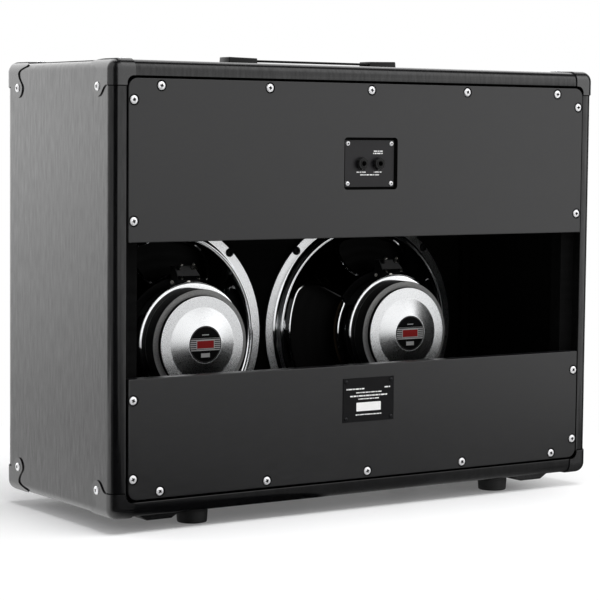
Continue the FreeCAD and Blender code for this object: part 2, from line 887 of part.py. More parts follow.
def surround(sign):
    """The rolled edge between the cone and the flange."""
    x = speaker_x(sign)
    inner = cone_rim_radius + glue_gap
    rolls = rolled_ring(x, inner, flange_inner_radius - sheet_thickness, cone_rim, flange_front,
                        surround_rolls, surround_roll_height)
    rim = tube(x, surround_seat_radius, flange_inner_radius - sheet_thickness, seat, flange_front)
    return rolls.fuse(rim).removeSplitter()


def spider(sign):
    """The rolled disc that centres the coil, glued to the frame's ledge."""
    x = speaker_x(sign)
    inner = former_outer + glue_gap
    edge = neck_radius - sheet_thickness
    rolls = rolled_ring(x, inner, edge, ledge_front, ledge_front, spider_rolls, spider_roll_height)
    rim = tube(x, ledge_radius - sheet_thickness, edge, ledge_front - soft_wall, ledge_front)
    return rolls.fuse(rim).removeSplitter()


def terminal_bottom():
    """The lower edge of a terminal's leg, just above the neck."""
    return speaker_z + neck_radius + terminal_foot


def terminal_place(x):
    """Where the lower edge of a leaning terminal board is, just behind and above the top plate."""
    place = Vector(x, neck_rear + terminal_back, speaker_z + top_plate_radius + terminal_clear)
    return FreeCAD.Placement(place, FreeCAD.Rotation(X_AXIS, terminal_lean))


def terminal_boards():
    """The leaning board of each terminal, its leg on the frame's ledge and the bridge between them."""
    low = terminal_bottom()
    t = terminal_thickness
    half = terminal_leg_width / 2
    lean = math.radians(terminal_lean)
    boards = []
    for side, sign in SIDES:
        x = speaker_x(sign)
        place = terminal_place(x)
        outline = [Vector(-terminal_width / 2, -t, 0), Vector(terminal_width / 2, -t, 0),
                   Vector(terminal_top_width / 2, -t, terminal_height),
                   Vector(-terminal_top_width / 2, -t, terminal_height)]
        board = Part.Face(Part.makePolygon(outline + outline[:1])).extrude(Y_AXIS * t)
        spots = [Vector(step * rivet_spacing / 2, -t, rivet_up) for step in (-1, 1)]
        board = drill(board, spots, Y_AXIS, rivet_radius + rivet_clearance, 0, t)
        board.Placement = place
        top_z = place.Base.z + terminal_height * math.cos(lean)
        top_y = place.Base.y - terminal_height * math.sin(lean)
        half_top = min(half, terminal_top_width / 2)
        leg = block(x - half, x + half, ledge_rear, ledge_rear + t, low, top_z)
        feet = [Vector(x + step * rivet_spacing / 2, ledge_rear, low + rivet_up) for step in (-1, 1)]
        leg = drill(leg, feet, Y_AXIS, rivet_radius + rivet_clearance, 0, t)
        bridge = block(x - half_top, x + half_top, ledge_rear, top_y, top_z - t, top_z)
        boards.append(leg.fuse([bridge, board]).removeSplitter())
    return Part.makeCompound(boards)


def rivet(length):
    """A rivet along Y whose head sits on Y = 0."""
    shank = Part.makeCylinder(rivet_radius, length, Vector(0, -length, 0), Y_AXIS)
    head = Part.makeCylinder(rivet_head_radius, rivet_head, Vector(0, 0, 0), Y_AXIS)
    return shank.fuse(head).removeSplitter()


def terminal_tags():
    """The bent tags and the rivets of both terminals."""
    low = terminal_bottom()
    back = ledge_rear + terminal_thickness
    pieces = []
    for side, sign in SIDES:
        x = speaker_x(sign)
        z = terminal_height - tag_drop
        half = tag_width / 2
        for step in (-1, 1):
            root = step * (terminal_top_width / 2 - tag_width)
            tip = step * (terminal_top_width / 2 + tag_length - tag_width)
            edge = root + step * tag_thickness
            flat = block(min(root, tip), max(root, tip), 0, tag_thickness, z - half, z + half)
            lip = block(min(root, edge), max(root, edge), 0, tag_length, z - half, z + half)
            stud = rivet(terminal_thickness)
            stud.translate(Vector(step * rivet_spacing / 2, 0, rivet_up))
            for piece in (flat.fuse(lip).removeSplitter(), stud):
                piece.Placement = terminal_place(x).multiply(piece.Placement)
                pieces.append(piece)
            foot = rivet(back - ledge_front)
            foot.translate(Vector(x + step * rivet_spacing / 2, back, low + rivet_up))
            pieces.append(foot)
    return Part.makeCompound(pieces)


def lobe_outline(to_point):
    """The outline of a corner protector's lobe on a face, from the edge round the lobe to the far end."""
    beyond = -corner_thickness - cut_past
    low = corner_screw_down + corner_lobe_radius
    side = corner_screw_in + corner_lobe_radius
    curve = Part.BSplineCurve()
    lead = corner_lobe_lead_share * corner_lobe_radius
    ease_down = (corner_waist_down + corner_flare_down) / 2
    curve.interpolate([to_point(corner_screw_in - 2 * corner_lobe_radius, corner_leg),
                       to_point(corner_screw_in - lead, corner_leg + corner_lobe_start),
                       to_point(corner_screw_in - corner_lobe_radius / 2, low - corner_lobe_dip),
                       to_point(corner_screw_in + corner_lobe_radius / 3, low - corner_lobe_dip / 4),
                       to_point(side, corner_screw_down - corner_lobe_dip / 2),
                       to_point(corner_waist + corner_lobe_start, corner_waist_down + 4 * corner_lobe_dip),
                       to_point(corner_waist, corner_waist_down),
                       to_point(corner_waist + corner_waist_ease, ease_down),
                       to_point(corner_flare, corner_flare_down)])
    straight = Part.makePolygon([to_point(corner_flare, corner_flare_down), to_point(corner_flare, beyond),
                                 to_point(beyond, beyond), to_point(beyond, corner_leg),
                                 to_point(corner_screw_in - 2 * corner_lobe_radius, corner_leg)])
    return Part.Face(Part.Wire([curve.toShape()] + straight.Edges))


def first_corner():
    """The protector of the left rear top corner: two lobes and a narrow leg on the rear edge."""
    shell = rounded_case(corner_thickness).cut(rounded_case(0))
    shell = shell.cut(through_opening(corner_inner_radius))
    reach = corner_thickness + cut_past
    inset = half_width - edge_radius
    on_side = lobe_outline(lambda u, v: Vector(inset, rear - u, top - v))
    on_side = on_side.extrude(X_AXIS * (edge_radius + reach))
    on_top = lobe_outline(lambda u, v: Vector(half_width - v, rear - u, top - edge_radius))
    on_top = on_top.extrude(Z_AXIS * (edge_radius + reach))
    on_rear = block(half_width - corner_leg, half_width + reach, rear - edge_radius, rear + reach,
                    top - corner_leg, top + reach)
    along_edge = block(inset, half_width + reach, rear - corner_flare - cut_past, rear + reach,
                       top - edge_radius, top + reach)
    outline = on_side.cut(along_edge).multiFuse([on_top.cut(along_edge), on_side.common(on_top), on_rear])
    corner = shell.common(outline).removeSplitter()
    radius = screw_shank_radius + screw_clearance
    place, direction = corner_side_places()[0]
    corner = drill(corner, [place], direction * -1, radius, 0, corner_thickness)
    place, direction = corner_end_places()[0]
    return drill(corner, [place], direction * -1, radius, 0, corner_thickness)


def corner_protectors():
    """All eight protectors, mirrored from one."""
    original = first_corner()
    centre = Vector(0, 0, middle)
    protectors = {}
    for level, sz in (("top", 1), ("bottom", -1)):
        for end, sy in (("rear", 1), ("front", -1)):
            for side, sx in SIDES:
                corner = original.copy()
                for sign, axis in ((sx, X_AXIS), (sy, Y_AXIS), (sz, Z_AXIS)):
                    if sign < 0:
                        corner = corner.mirror(centre, axis)
                protectors["corner_%s_%s_%s" % (end, level, side)] = corner
    return protectors


def corner_screws():
    """Two screws in each corner protector."""
    screw = domed_screw(screw_head_radius, screw_head_height, screw_shank_radius,
                        corner_thickness + corner_screw_grip)
    group = []
    for place, direction in corner_side_places() + corner_end_places():
        piece = turn_to(screw, direction)
        piece.translate(place)
        group.append(piece)
    return Part.makeCompound(group)


def rubber_feet():
    """The four feet, each with a well for its screw."""
    foot = Part.makeCone(foot_bottom_radius, foot_top_radius, foot_height)
    foot = foot.cut(Part.makeCylinder(foot_screw_well_radius, foot_screw_well_depth))
    foot = foot.cut(Part.makeCylinder(screw_shank_radius + screw_clearance, foot_height))
    return copies(foot, [place - Z_AXIS * foot_height for place in foot_places()])


def foot_screws():
    """The screws up through the feet."""
    screw = domed_screw(screw_head_radius, screw_head_height, screw_shank_radius,
                        foot_height - foot_screw_well_depth + corner_screw_grip)
    screw = turn_to(screw, Z_AXIS * -1)
    return copies(screw, [place - Z_AXIS * (foot_height - foot_screw_well_depth) for place in foot_places()])


def rear_skids():
    """The low bevelled skids between the rear feet and the corners."""
    y = rear - skid_from_rear
    skids = []
    for side, sign in SIDES:
        outer = sign * (half_width - corner_screw_down - corner_lobe_radius - skid_clearance)
        inner = sign * (half_width - foot_from_side + foot_top_radius + skid_clearance)
        outline = [Vector(outer, y, underside), Vector(outer - sign * skid_bevel, y, underside - skid_height),
                   Vector(inner + sign * skid_bevel, y, underside - skid_height), Vector(inner, y, underside)]
        skids.append(Part.Face(Part.makePolygon(outline + outline[:1])).extrude(Y_AXIS * -skid_width))
    return Part.makeCompound(skids)


def handle_cap(sign):
    """One hollow end cap of the handle, open towards the strap."""
    x = sign * handle_pitch / 2
    half = handle_cap_length / 2
    width = handle_cap_width / 2
    shell = block(x - half, x + half, -width, width, top, top + handle_cap_height)
    rim = [edge for edge in shell.Edges if edge.BoundBox.ZMax > top + handle_cap_height - 1e-6]
    shell = shell.makeFillet(handle_cap_round, rim)
    wall = handle_cap_wall
    hollow = block(x - half + wall, x + half - wall, -width + wall, width - wall,
                   top, top + handle_cap_height - wall)
    inner_end = x - sign * half
    reach = strap_width / 2 + strap_fit
    mouth = block(min(inner_end, x), max(inner_end, x), -reach, reach,
                  strap_low - strap_fit, strap_high + strap_fit)
    return shell.cut([hollow, mouth])


def handle_grip():
    """The middle of the strap, which lifts when it is carried."""
    half = grip_length / 2
    grip = block(-half, half, -strap_width / 2, strap_width / 2, strap_low, strap_high)
    return grip.makeFillet(strap_thickness / 3, edges_along(grip, X_AXIS))


def handle_strap_ends():
    """The flexing ends of the strap, thinned to the steel core where the studs hold them."""
    ends = []
    for side, sign in SIDES:
        start = sign * grip_length / 2
        mouth = sign * (handle_pitch - handle_cap_length) / 2
        stud = sign * handle_pitch / 2
        tip = stud + sign * strap_core_reach
        thick = block(min(start, mouth), max(start, mouth), -strap_width / 2, strap_width / 2,
                      strap_low, strap_high)
        core = block(min(mouth, tip), max(mouth, tip), -strap_width / 2, strap_width / 2, core_low, core_high)
        radius = stud_neck_radius + stud_fit
        run = strap_slot_length / 2 - radius
        cuts = [block(stud - run, stud + run, -radius, radius, core_low, core_high)]
        for step in (-1, 1):
            cuts.append(Part.makeCylinder(radius, strap_core, Vector(stud + step * run, 0, core_low)))
        ends.append(thick.fuse(core).removeSplitter().cut(cuts))
    return Part.makeCompound(ends)


def handle_studs():
    """The shouldered studs that hold the strap's ends under the caps."""
    shoulder_top = core_low - stud_fit - top
    neck_top = core_high + stud_fit - top
    stud = joined([Part.makeCylinder(stud_neck_radius, stud_grip + neck_top, Vector(0, 0, -stud_grip)),
                   Part.makeCylinder(stud_radius, shoulder_top),
                   Part.makeCylinder(stud_head_radius, stud_head_height, Vector(0, 0, neck_top))])
    return copies(stud, stud_places())


def build():
    """Every node's name with its shape."""
    nodes = carcass_boards()
    nodes["vinyl_covering"] = vinyl_covering()
    nodes["baffle_board"] = baffle_board()
    nodes["baffle_battens"] = baffle_battens()
    nodes["rear_battens"] = rear_battens()
    nodes["grille_frame"] = grille_frame()
    nodes["grille_cloth"] = grille_cloth()
    nodes["upper_rear_panel"] = upper_rear_panel()
    nodes["lower_rear_panel"] = lower_rear_panel()
    nodes["panel_screws"] = panel_screws()
    nodes["jack_plate"] = jack_plate()
    nodes["jack_plate_screws"] = plate_screws(plate_head_radius, jack_screw_places(jack_plate_rear))
    nodes["jack_nuts"] = jack_nuts()
    nodes["jack_contacts"] = jack_contacts()
    nodes["data_plate"] = data_plate()
    nodes["data_plate_screws"] = plate_screws(data_head_radius, data_screw_places(data_plate_rear))
    nodes["speaker_gaskets"] = speaker_gaskets()
    nodes["speaker_screws"] = speaker_screws()
    nodes["terminal_boards"] = terminal_boards()
    nodes["terminal_tags"] = terminal_tags()
    nodes.update(corner_protectors())
    nodes["corner_screws"] = corner_screws()
    nodes["rubber_feet"] = rubber_feet()
    nodes["foot_screws"] = foot_screws()
    nodes["rear_skids"] = rear_skids()
    nodes["handle_grip"] = handle_grip()
    nodes["handle_strap_ends"] = handle_strap_ends()
    nodes["handle_studs"] = handle_studs()
    makers = {"jack_body": jack_body, "handle_cap": handle_cap, "speaker_frame": speaker_frame,
              "top_plate": top_plate, "magnet": magnet, "yoke": yoke, "voice_coil": voice_coil,
              "cone": cone, "dust_cap": dust_cap, "surround": surround, "spider": spider}
    for side, sign in SIDES:
        for name, maker in makers.items():
            nodes[side + "_" + name] = maker(sign)
    return nodes


os.makedirs("parts", exist_ok=True)
for node, shape in build().items():
    print("%-28s solids %d volume %.1f valid %s" % (node, len(shape.Solids), shape.Volume, shape.isValid()))
    shape.exportStep("parts/" + node + ".step")
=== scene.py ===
import functools
import math

import bmesh
import bpy
from mathutils import Matrix, Vector


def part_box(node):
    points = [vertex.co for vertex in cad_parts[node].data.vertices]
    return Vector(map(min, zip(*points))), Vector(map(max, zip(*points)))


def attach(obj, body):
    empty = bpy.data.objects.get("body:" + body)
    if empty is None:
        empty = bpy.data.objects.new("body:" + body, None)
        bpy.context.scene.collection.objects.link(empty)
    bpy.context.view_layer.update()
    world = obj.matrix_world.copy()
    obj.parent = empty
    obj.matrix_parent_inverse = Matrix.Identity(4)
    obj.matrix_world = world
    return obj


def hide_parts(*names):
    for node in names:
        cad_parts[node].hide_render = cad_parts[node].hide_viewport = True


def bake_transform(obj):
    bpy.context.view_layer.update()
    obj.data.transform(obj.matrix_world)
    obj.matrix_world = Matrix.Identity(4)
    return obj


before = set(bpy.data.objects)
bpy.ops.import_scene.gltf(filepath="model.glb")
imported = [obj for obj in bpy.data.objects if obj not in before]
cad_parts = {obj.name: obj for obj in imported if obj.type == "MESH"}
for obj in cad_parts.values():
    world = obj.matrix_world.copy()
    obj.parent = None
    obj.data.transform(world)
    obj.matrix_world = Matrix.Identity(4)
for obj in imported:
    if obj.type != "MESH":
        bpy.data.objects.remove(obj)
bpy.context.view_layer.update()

bl_info = {
    "name": "Speaker cabinet dressing",
    "version": (1, 0, 0),
    "blender": (4, 5, 0),
    "location": "3D View > Sidebar > Cabinet",
    "description": "Finishes and detailed pieces for a two speaker guitar cabinet",
    "category": "Object",
}

MM = 0.001
SIDES = (("left", 1), ("right", -1))
REAR = (0.0, 1.0, 0.0)
QUADRANTS = ((1, 1), (1, -1), (-1, 1), (-1, -1))


def box_mm(node):
    """The lowest and the highest corner of a node, in millimetres."""
    return [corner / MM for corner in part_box(node)]


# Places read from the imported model, in millimetres
CASE_LOW, CASE_HIGH = box_mm("vinyl_covering")
MAGNET_LOW, MAGNET_HIGH = box_mm("left_magnet")
PANEL_LOW, PANEL_HIGH = box_mm("upper_rear_panel")
JACK_LOW, JACK_HIGH = box_mm("jack_plate")
DATA_LOW, DATA_HIGH = box_mm("data_plate")
CLOTH_LOW, CLOTH_HIGH = box_mm("grille_cloth")
STRAP_LOW, STRAP_HIGH = box_mm("handle_grip")
CAP_LOW, CAP_HIGH = box_mm("left_handle_cap")
SPEAKER_X = (MAGNET_LOW.x + MAGNET_HIGH.x) / 2
SPEAKER_Z = (MAGNET_LOW.z + MAGNET_HIGH.z) / 2
FLANGE_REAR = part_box("left_speaker_frame")[0].y / MM + 1.5
CASE_MIDDLE = (CASE_LOW.z + CASE_HIGH.z) / 2
CASE_RISE = (CASE_HIGH.z - CASE_LOW.z) / 2

# Places and sizes of the model that no box gives, in millimetres
JACK_X, JACK_Z = 12.85, 440.0
POCKET_HALF_X, POCKET_HALF_Z = 43.0, 34.0
FOOT_X, FOOT_Y = CASE_HIGH.x - 133.5, CASE_HIGH.y - 38.5
SCREW_CIRCLE = 154.0
PROTECTOR_WALL, PROTECTOR_SCREW, PROTECTOR_LEG = 1.5, 31.5, 30.5
HEAD_RISE, SHANK = 1.9, 2.0
STRAP_SPLIT, STRAP_TIP = 28.0, 122.0
NECK = FLANGE_REAR + 78.0
CONE_RIM, CONE_APEX = FLANGE_REAR + 2.5, FLANGE_REAR + 46.0
# The lower panel is a little narrower than its node, as the gaps beside it show
LOWER_PANEL_SHARE = 0.9958


# Settings

def length_setting(label, description, default):
    return bpy.props.FloatProperty(name=label, description=description, default=default,
                                   min=default / 3, max=default * 3, unit="LENGTH")


def colour_setting(label, description, *rgb):
    return bpy.props.FloatVectorProperty(name=label, description=description, default=(*rgb, 1.0),
                                         min=0.0, max=1.0, size=4, subtype="COLOR")


def angle_setting(label, description, degrees):
    return bpy.props.FloatProperty(name=label, description=description, default=math.radians(degrees),
                                   subtype="ANGLE")


class CabinetSizes(bpy.types.PropertyGroup):
    """Sizes of the dressed pieces"""
    edge_radius: length_setting("Edge radius", "Rounding of the covered edges", 0.012)
    covering: length_setting("Covering", "Thickness of the vinyl", 0.0006)
    rail: length_setting("Rail", "Width of the covered edge round the openings", 0.0186)
    panel_screw: length_setting("Panel screw", "Head radius of the panel and corner screws", 0.0052)
    plate_screw: length_setting("Plate screw", "Head radius of the jack plate screws", 0.003)
    label_radius: length_setting("Label radius", "Radius of the plain label on each magnet", 0.0238)
    thread_pitch: length_setting("Thread pitch", "Distance between the threads of the grille cloth", 0.0016)


class CabinetColours(bpy.types.PropertyGroup):
    """Colours of the finishes"""
    vinyl: colour_setting("Vinyl", "Covering of the carcass", 0.003, 0.003, 0.0033)
    board: colour_setting("Rear panels", "Satin black board", 0.006, 0.006, 0.0066)
    zinc: colour_setting("Zinc plate", "Bright plates and flanges of the speakers", 0.88, 0.89, 0.90)
    ferrite: colour_setting("Ferrite", "The magnet rings", 0.42, 0.42, 0.41)
    label_band: colour_setting("Label band", "Plain band on the magnet labels", 0.42, 0.03, 0.03)
    cloth: colour_setting("Grille cloth", "Woven cloth on the front", 0.016, 0.016, 0.017)


class CabinetStage(bpy.types.PropertyGroup):
    """Camera and lamps"""
    azimuth: angle_setting("Azimuth", "Camera direction round the cabinet", 146.104)
    elevation: angle_setting("Elevation", "Camera height as an angle", 4.493)
    roll: angle_setting("Roll", "Camera roll", 0.544)
    lens: bpy.props.FloatProperty(
        name="Lens", description="Focal length in millimetres", default=129.40, min=20.0, max=300.0)
    place: bpy.props.FloatVectorProperty(
        name="Place", description="Camera place", subtype="TRANSLATION", unit="LENGTH", size=3,
        default=(1.592552, 2.353412, 0.480723))
    lamp_level: bpy.props.FloatProperty(
        name="Lamp level", description="Strength of the lamps as a share", default=1.0, min=0.1, max=3.0)


def colours():
    return bpy.context.scene.cabinet_colours


def sizes():
    return bpy.context.scene.cabinet_sizes


# Node helpers

def add(tree, kind, values=None, **settings):
    """A new node with its settings, and its inputs set or linked."""
    node = tree.nodes.new(kind)
    for key, value in settings.items():
        setattr(node, key, value)
    for key, value in (values or {}).items():
        if isinstance(value, bpy.types.NodeSocket):
            tree.links.new(value, node.inputs[key])
        else:
            node.inputs[key].default_value = value
    return node


def feed(tree, node, **links):
    """Links outputs to a node's named inputs; an underscore stands for a space."""
    for key, value in links.items():
        tree.links.new(value, node.inputs[key.replace("_", " ")])


def sums(tree, operation, first, second=0.0, third=0.0):
    """The output of a math node."""
    return add(tree, "ShaderNodeMath", {0: first, 1: second, 2: third}, operation=operation).outputs[0]


def times(tree, first, second):
    return sums(tree, "MULTIPLY", first, second)


def most(tree, first, second):
    return sums(tree, "MAXIMUM", first, second)


def spread(tree, value, low, high, to_low=0.0, to_high=1.0):
    """A value mapped from one range to another."""
    return add(tree, "ShaderNodeMapRange", {"Value": value, "From Min": low, "From Max": high,
                                            "To Min": to_low, "To Max": to_high}).outputs["Result"]


def mixed(tree, share, first, second):
    """A colour between two colours."""
    return add(tree, "ShaderNodeMix", {0: share, 6: first, 7: second}, data_type="RGBA").outputs[2]


def vector(tree, operation, first, second=(0.0, 0.0, 0.0)):
    """A vector math node."""
    return add(tree, "ShaderNodeVectorMath", {0: first, 1: second}, operation=operation)


def axes(tree, value):
    """The X, Y and Z of a vector."""
    return add(tree, "ShaderNodeSeparateXYZ", {0: value}).outputs


def object_place(tree):
    """The place on the object, in metres."""
    return add(tree, "ShaderNodeTexCoord").outputs["Object"]


def noise(tree, place, scale, detail, rough=0.5):
    return add(tree, "ShaderNodeTexNoise", {"Vector": place, "Scale": scale, "Detail": detail,
                                            "Roughness": rough}).outputs["Fac"]


# Shared effects, each made once

def effect(name, inputs, outputs):
    """An empty shader node group, the outputs of its input node, and its output node."""
    tree = bpy.data.node_groups.new(name, "ShaderNodeTree")
    for label, default in inputs.items():
        kind = "NodeSocketVector" if isinstance(default, tuple) else "NodeSocketFloat"
        tree.interface.new_socket(label, in_out="INPUT", socket_type=kind).default_value = default
    for label in outputs:
        tree.interface.new_socket(label, in_out="OUTPUT", socket_type="NodeSocketFloat")
    return tree, tree.nodes.new("NodeGroupInput").outputs, tree.nodes.new("NodeGroupOutput")


@functools.cache
def grain_effect():
    """Fine streaks or specks: two layers of noise along a stretched direction."""
    tree, given, out = effect("Fine grain", {"Stretch": (1.0, 1.0, 1.0), "Scale": 400.0, "Detail": 4.0},
                              ("Tone", "Height"))
    stretched = vector(tree, "MULTIPLY", object_place(tree), given["Stretch"]).outputs[0]
    coarse = noise(tree, stretched, given["Scale"], given["Detail"], 0.6)
    fine = noise(tree, stretched, times(tree, given["Scale"], 3.3), 2.0)
    feed(tree, out, Tone=spread(tree, coarse, 0.3, 0.7),
         Height=sums(tree, "MULTIPLY_ADD", fine, 0.5, times(tree, coarse, 0.5)))
    return tree


@functools.cache
def pebble_effect():
    """The small rounded pebbles of moulded plastic and embossed vinyl."""
    tree, given, out = effect("Pebble", {"Stretch": (1.0, 1.0, 1.0), "Scale": 900.0}, ("Tone", "Height"))
    stretched = vector(tree, "MULTIPLY", object_place(tree), given["Stretch"]).outputs[0]
    cells = add(tree, "ShaderNodeTexVoronoi", {"Vector": stretched, "Scale": given["Scale"],
                                               "Smoothness": 0.6}, feature="SMOOTH_F1").outputs["Distance"]
    feed(tree, out, Tone=spread(tree, cells, 0.2, 0.7), Height=spread(tree, cells, 0.1, 0.8, 1.0, 0.0))
    return tree


@functools.cache
def ring_effect():
    """Fine turning marks round the axis of either speaker, and the place round that axis."""
    tree, given, out = effect("Turned rings", {"Fineness": 2500.0},
                              ("Tone", "Height", "Radius", "Up", "Across"))
    place = axes(tree, object_place(tree))
    across = sums(tree, "SUBTRACT", sums(tree, "ABSOLUTE", place["X"]), SPEAKER_X * MM)
    up = sums(tree, "SUBTRACT", place["Z"], SPEAKER_Z * MM)
    radius = sums(tree, "SQRT", sums(tree, "MULTIPLY_ADD", across, across, times(tree, up, up)))
    rings = add(tree, "ShaderNodeTexNoise", {"W": times(tree, radius, given["Fineness"]), "Scale": 1.0,
                                             "Detail": 3.0}, noise_dimensions="1D").outputs["Fac"]
    feed(tree, out, Tone=spread(tree, rings, 0.3, 0.7), Height=rings, Radius=radius, Up=up, Across=across)
    return tree


@functools.cache
def weave_effect():
    """A plain weave: threads over and under, with a slub in their tone; the tone also darkens into the dips
    of the threads, painted shade.
    """
    tree, given, out = effect("Plain weave", {"Pitch": 0.0016}, ("Tone", "Height", "Gap"))
    place = axes(tree, object_place(tree))
    step = sums(tree, "DIVIDE", math.pi, given["Pitch"])
    warp = sums(tree, "SINE", times(tree, place["X"], step))
    weft = sums(tree, "SINE", times(tree, place["Z"], step))
    over = sums(tree, "GREATER_THAN", times(tree, warp, weft), 0.0)
    under = sums(tree, "SUBTRACT", 1.0, over)
    warp, weft = sums(tree, "ABSOLUTE", warp), sums(tree, "ABSOLUTE", weft)
    height = sums(tree, "MULTIPLY_ADD", warp, over, times(tree, weft, under))
    slub = spread(tree, noise(tree, object_place(tree), 260.0, 3.0), 0.3, 0.7, 0.6, 1.0)
    feed(tree, out, Tone=times(tree, height, slub), Height=height, Gap=most(tree, warp, weft))
    return tree


@functools.cache
def dust_effect():
    """A thin film of dust that lies on upward faces and breaks up in patches."""
    tree, given, out = effect("Dust film", {"Amount": 0.2}, ("Mask",))
    normal = axes(tree, add(tree, "ShaderNodeNewGeometry").outputs["Normal"])
    patches = spread(tree, noise(tree, object_place(tree), 35.0, 8.0, 0.7), 0.45, 0.75)
    cover = times(tree, spread(tree, normal["Z"], 0.2, 1.0, 0.15, 1.0), patches)
    feed(tree, out, Mask=times(tree, cover, given["Amount"]))
    return tree


@functools.cache
def rub_effect():
    """Where edges stand out they are rubbed a little paler."""
    tree, given, out = effect("Rubbed edges", {"Amount": 0.5}, ("Mask",))
    sharp = spread(tree, add(tree, "ShaderNodeNewGeometry").outputs["Pointiness"], 0.53, 0.62)
    patches = spread(tree, noise(tree, object_place(tree), 60.0, 6.0), 0.35, 0.65)
    feed(tree, out, Mask=times(tree, times(tree, sharp, patches), given["Amount"]))
    return tree


# Finishes

SHINE = "Specular IOR Level"
DUST_COLOUR = (0.30, 0.29, 0.28, 1.0)
# Colour or its setting, scale of the grain, its detail (none for pebbles), lowest and highest roughness,
# strength and depth of the relief, darkest and lightest share of the colour, and what else it has
FINISHES = {
    "vinyl_vertical_grain": ("vinyl", 300.0, 5.0, (0.12, 0.17), (0.03, 0.0002), (0.8, 1.25), {
        "Stretch": (1.0, 1.0, 0.12), "dust": 0.012, "rub": 0.15, "coat": (0.15, 0.55),
        "Coat Roughness": 0.14, SHINE: 0.36}),
    "satin_black_board": ("board", 240.0, 6.0, (0.31, 0.39), (0.06, 0.0002), (0.8, 1.25), {
        "Stretch": (0.25, 1.0, 1.0), "dust": 0.02, SHINE: 0.62}),
    "black_stained_ply": ((0.003, 0.003, 0.003), 180.0, 8.0, (0.75, 0.9), (0.3, 0.0004), (0.5, 1.6), {
        "Stretch": (0.06, 1.0, 1.0), SHINE: 0.06}),
    "moulded_corner_plastic": ((0.004, 0.004, 0.0043), 950.0, None, (0.16, 0.24), (0.05, 0.0002), (0.8, 1.3),
                               {
        "dust": 0.02, "rub": 0.2, SHINE: 0.95}),
    "moulded_strap_vinyl": ((0.006, 0.006, 0.006), 1100.0, None, (0.38, 0.5), (0.2, 0.0002), (0.8, 1.3), {
        "Stretch": (0.5, 1.0, 1.0), "dust": 0.03, "rub": 0.3, SHINE: 0.2}),
    "black_foot_rubber": ((0.010, 0.010, 0.010), 1400.0, None, (0.5, 0.65), (0.15, 0.0002), (0.7, 1.4), {
        "dust": 0.06, "rub": 0.4}),
    "plated_screw_steel": ((0.95, 0.95, 0.96), 1500.0, 3.0, (0.28, 0.4), (0.05, 0.0001), (0.92, 1.04), {
        "Metallic": 0.45}),
    "black_oxide_screw": ((0.035, 0.035, 0.037), 1500.0, 3.0, (0.3, 0.45), (0.08, 0.0001), (0.7, 1.4), {
        "rub": 0.3, "Metallic": 0.9}),
    "bright_plated_frame": ("zinc", 500.0, 4.0, (0.05, 0.09), (0.015, 0.0002), (0.9, 1.05),
                            {"Metallic": 1.0}),
    # Near-black matt finish that stands in for shade: painted shade in the jack plate pocket, the screw
    # recesses, the cups round the panel screws and the lines at the protector leg ends
    "sooty_recess": ((0.002, 0.002, 0.002), 900.0, 3.0, (0.6, 0.8), (0.1, 0.0001), (0.7, 1.3), {SHINE: 0.05}),
    # Near-black outer walls of the ferrite ring and the yoke: painted shade; on the ferrite partly also its
    # darker unground side
    "black_ferrite_wall": ((0.006, 0.006, 0.006), 700.0, 6.0, (0.5, 0.7), (0.2, 0.0003), (0.7, 1.4), {
        SHINE: 0.2}),
    "matt_ferrite": ("ferrite", 700.0, 6.0, (0.6, 0.8), (0.2, 0.0003), (0.7, 1.3), {"rub": 0.5, SHINE: 0.35}),
    "black_jack_plastic": ((0.008, 0.008, 0.008), 900.0, 3.0, (0.22, 0.34), (0.06, 0.0001), (0.8, 1.3), {
        "rub": 0.2, SHINE: 0.18}),
    "satin_plate_enamel": ((0.007, 0.0065, 0.0078), 1300.0, 4.0, (0.36, 0.46), (0.08, 0.0001), (0.8, 1.25), {
        "dust": 0.02, SHINE: 0.36}),
    "matt_black_plate": ((0.005, 0.005, 0.0055), 1300.0, 4.0, (0.42, 0.52), (0.06, 0.0001), (0.8, 1.25), {
        "dust": 0.01, SHINE: 0.14}),
    "pale_print_ink": ((0.88, 0.88, 0.87), 2600.0, 3.0, (0.5, 0.65), (0.05, 0.00005), (0.85, 1.08), {}),
    "blank_sticker_paper": ((0.90, 0.90, 0.89), 1800.0, 6.0, (0.45, 0.6), (0.05, 0.00005), (0.92, 1.05), {}),
    "doped_cone_paper": ((0.006, 0.006, 0.006), 520.0, 8.0, (0.6, 0.8), (0.5, 0.0003), (0.6, 1.6),
                         {SHINE: 0.2}),
    "yellow_spider_cloth": ((0.05, 0.03, 0.012), 1500.0, 3.0, (0.7, 0.85), (0.4, 0.0003), (0.7, 1.2), {}),
    "pressed_gasket_board": ((0.03, 0.03, 0.03), 700.0, 6.0, (0.75, 0.9), (0.3, 0.0003), (0.6, 1.5), {}),
    "copper_winding": ((0.60, 0.28, 0.13), 500.0, 2.0, (0.25, 0.4), (0.4, 0.0002), (0.7, 1.1), {
        "Stretch": (0.1, 8.0, 0.1), "Metallic": 1.0}),
    "dark_fibre_board": ((0.10, 0.10, 0.10), 900.0, 6.0, (0.5, 0.65), (0.2, 0.0002), (0.7, 1.3), {}),
    "tinned_tag_brass": ((0.75, 0.73, 0.68), 1200.0, 4.0, (0.18, 0.34), (0.12, 0.0002), (0.8, 1.1), {
        "Metallic": 1.0}),
}


def filled(tree, group, values):
    """The outputs of a node group set in a material with its own values."""
    node = add(tree, "ShaderNodeGroup", None, node_tree=group)
    for key, value in values.items():
        node.inputs[key].default_value = value
    return node.outputs


def shade(colour, factor):
    """A colour made darker or lighter."""
    return tuple(min(1.0, c * factor) for c in colour[:3]) + (1.0,)


def new_material(name, sockets):
    """An empty material with a Principled shader, and its constant sockets set."""
    material = bpy.data.materials.new(name)
    material.use_nodes = True
    tree = material.node_tree
    shader = tree.nodes["Principled BSDF"]
    for key, value in sockets.items():
        shader.inputs[key].default_value = value
    return material, tree, shader


def relief(tree, shader, strength, depth, height):
    node = add(tree, "ShaderNodeBump", {"Strength": strength, "Distance": depth, "Height": height})
    feed(tree, shader, Normal=node.outputs["Normal"])


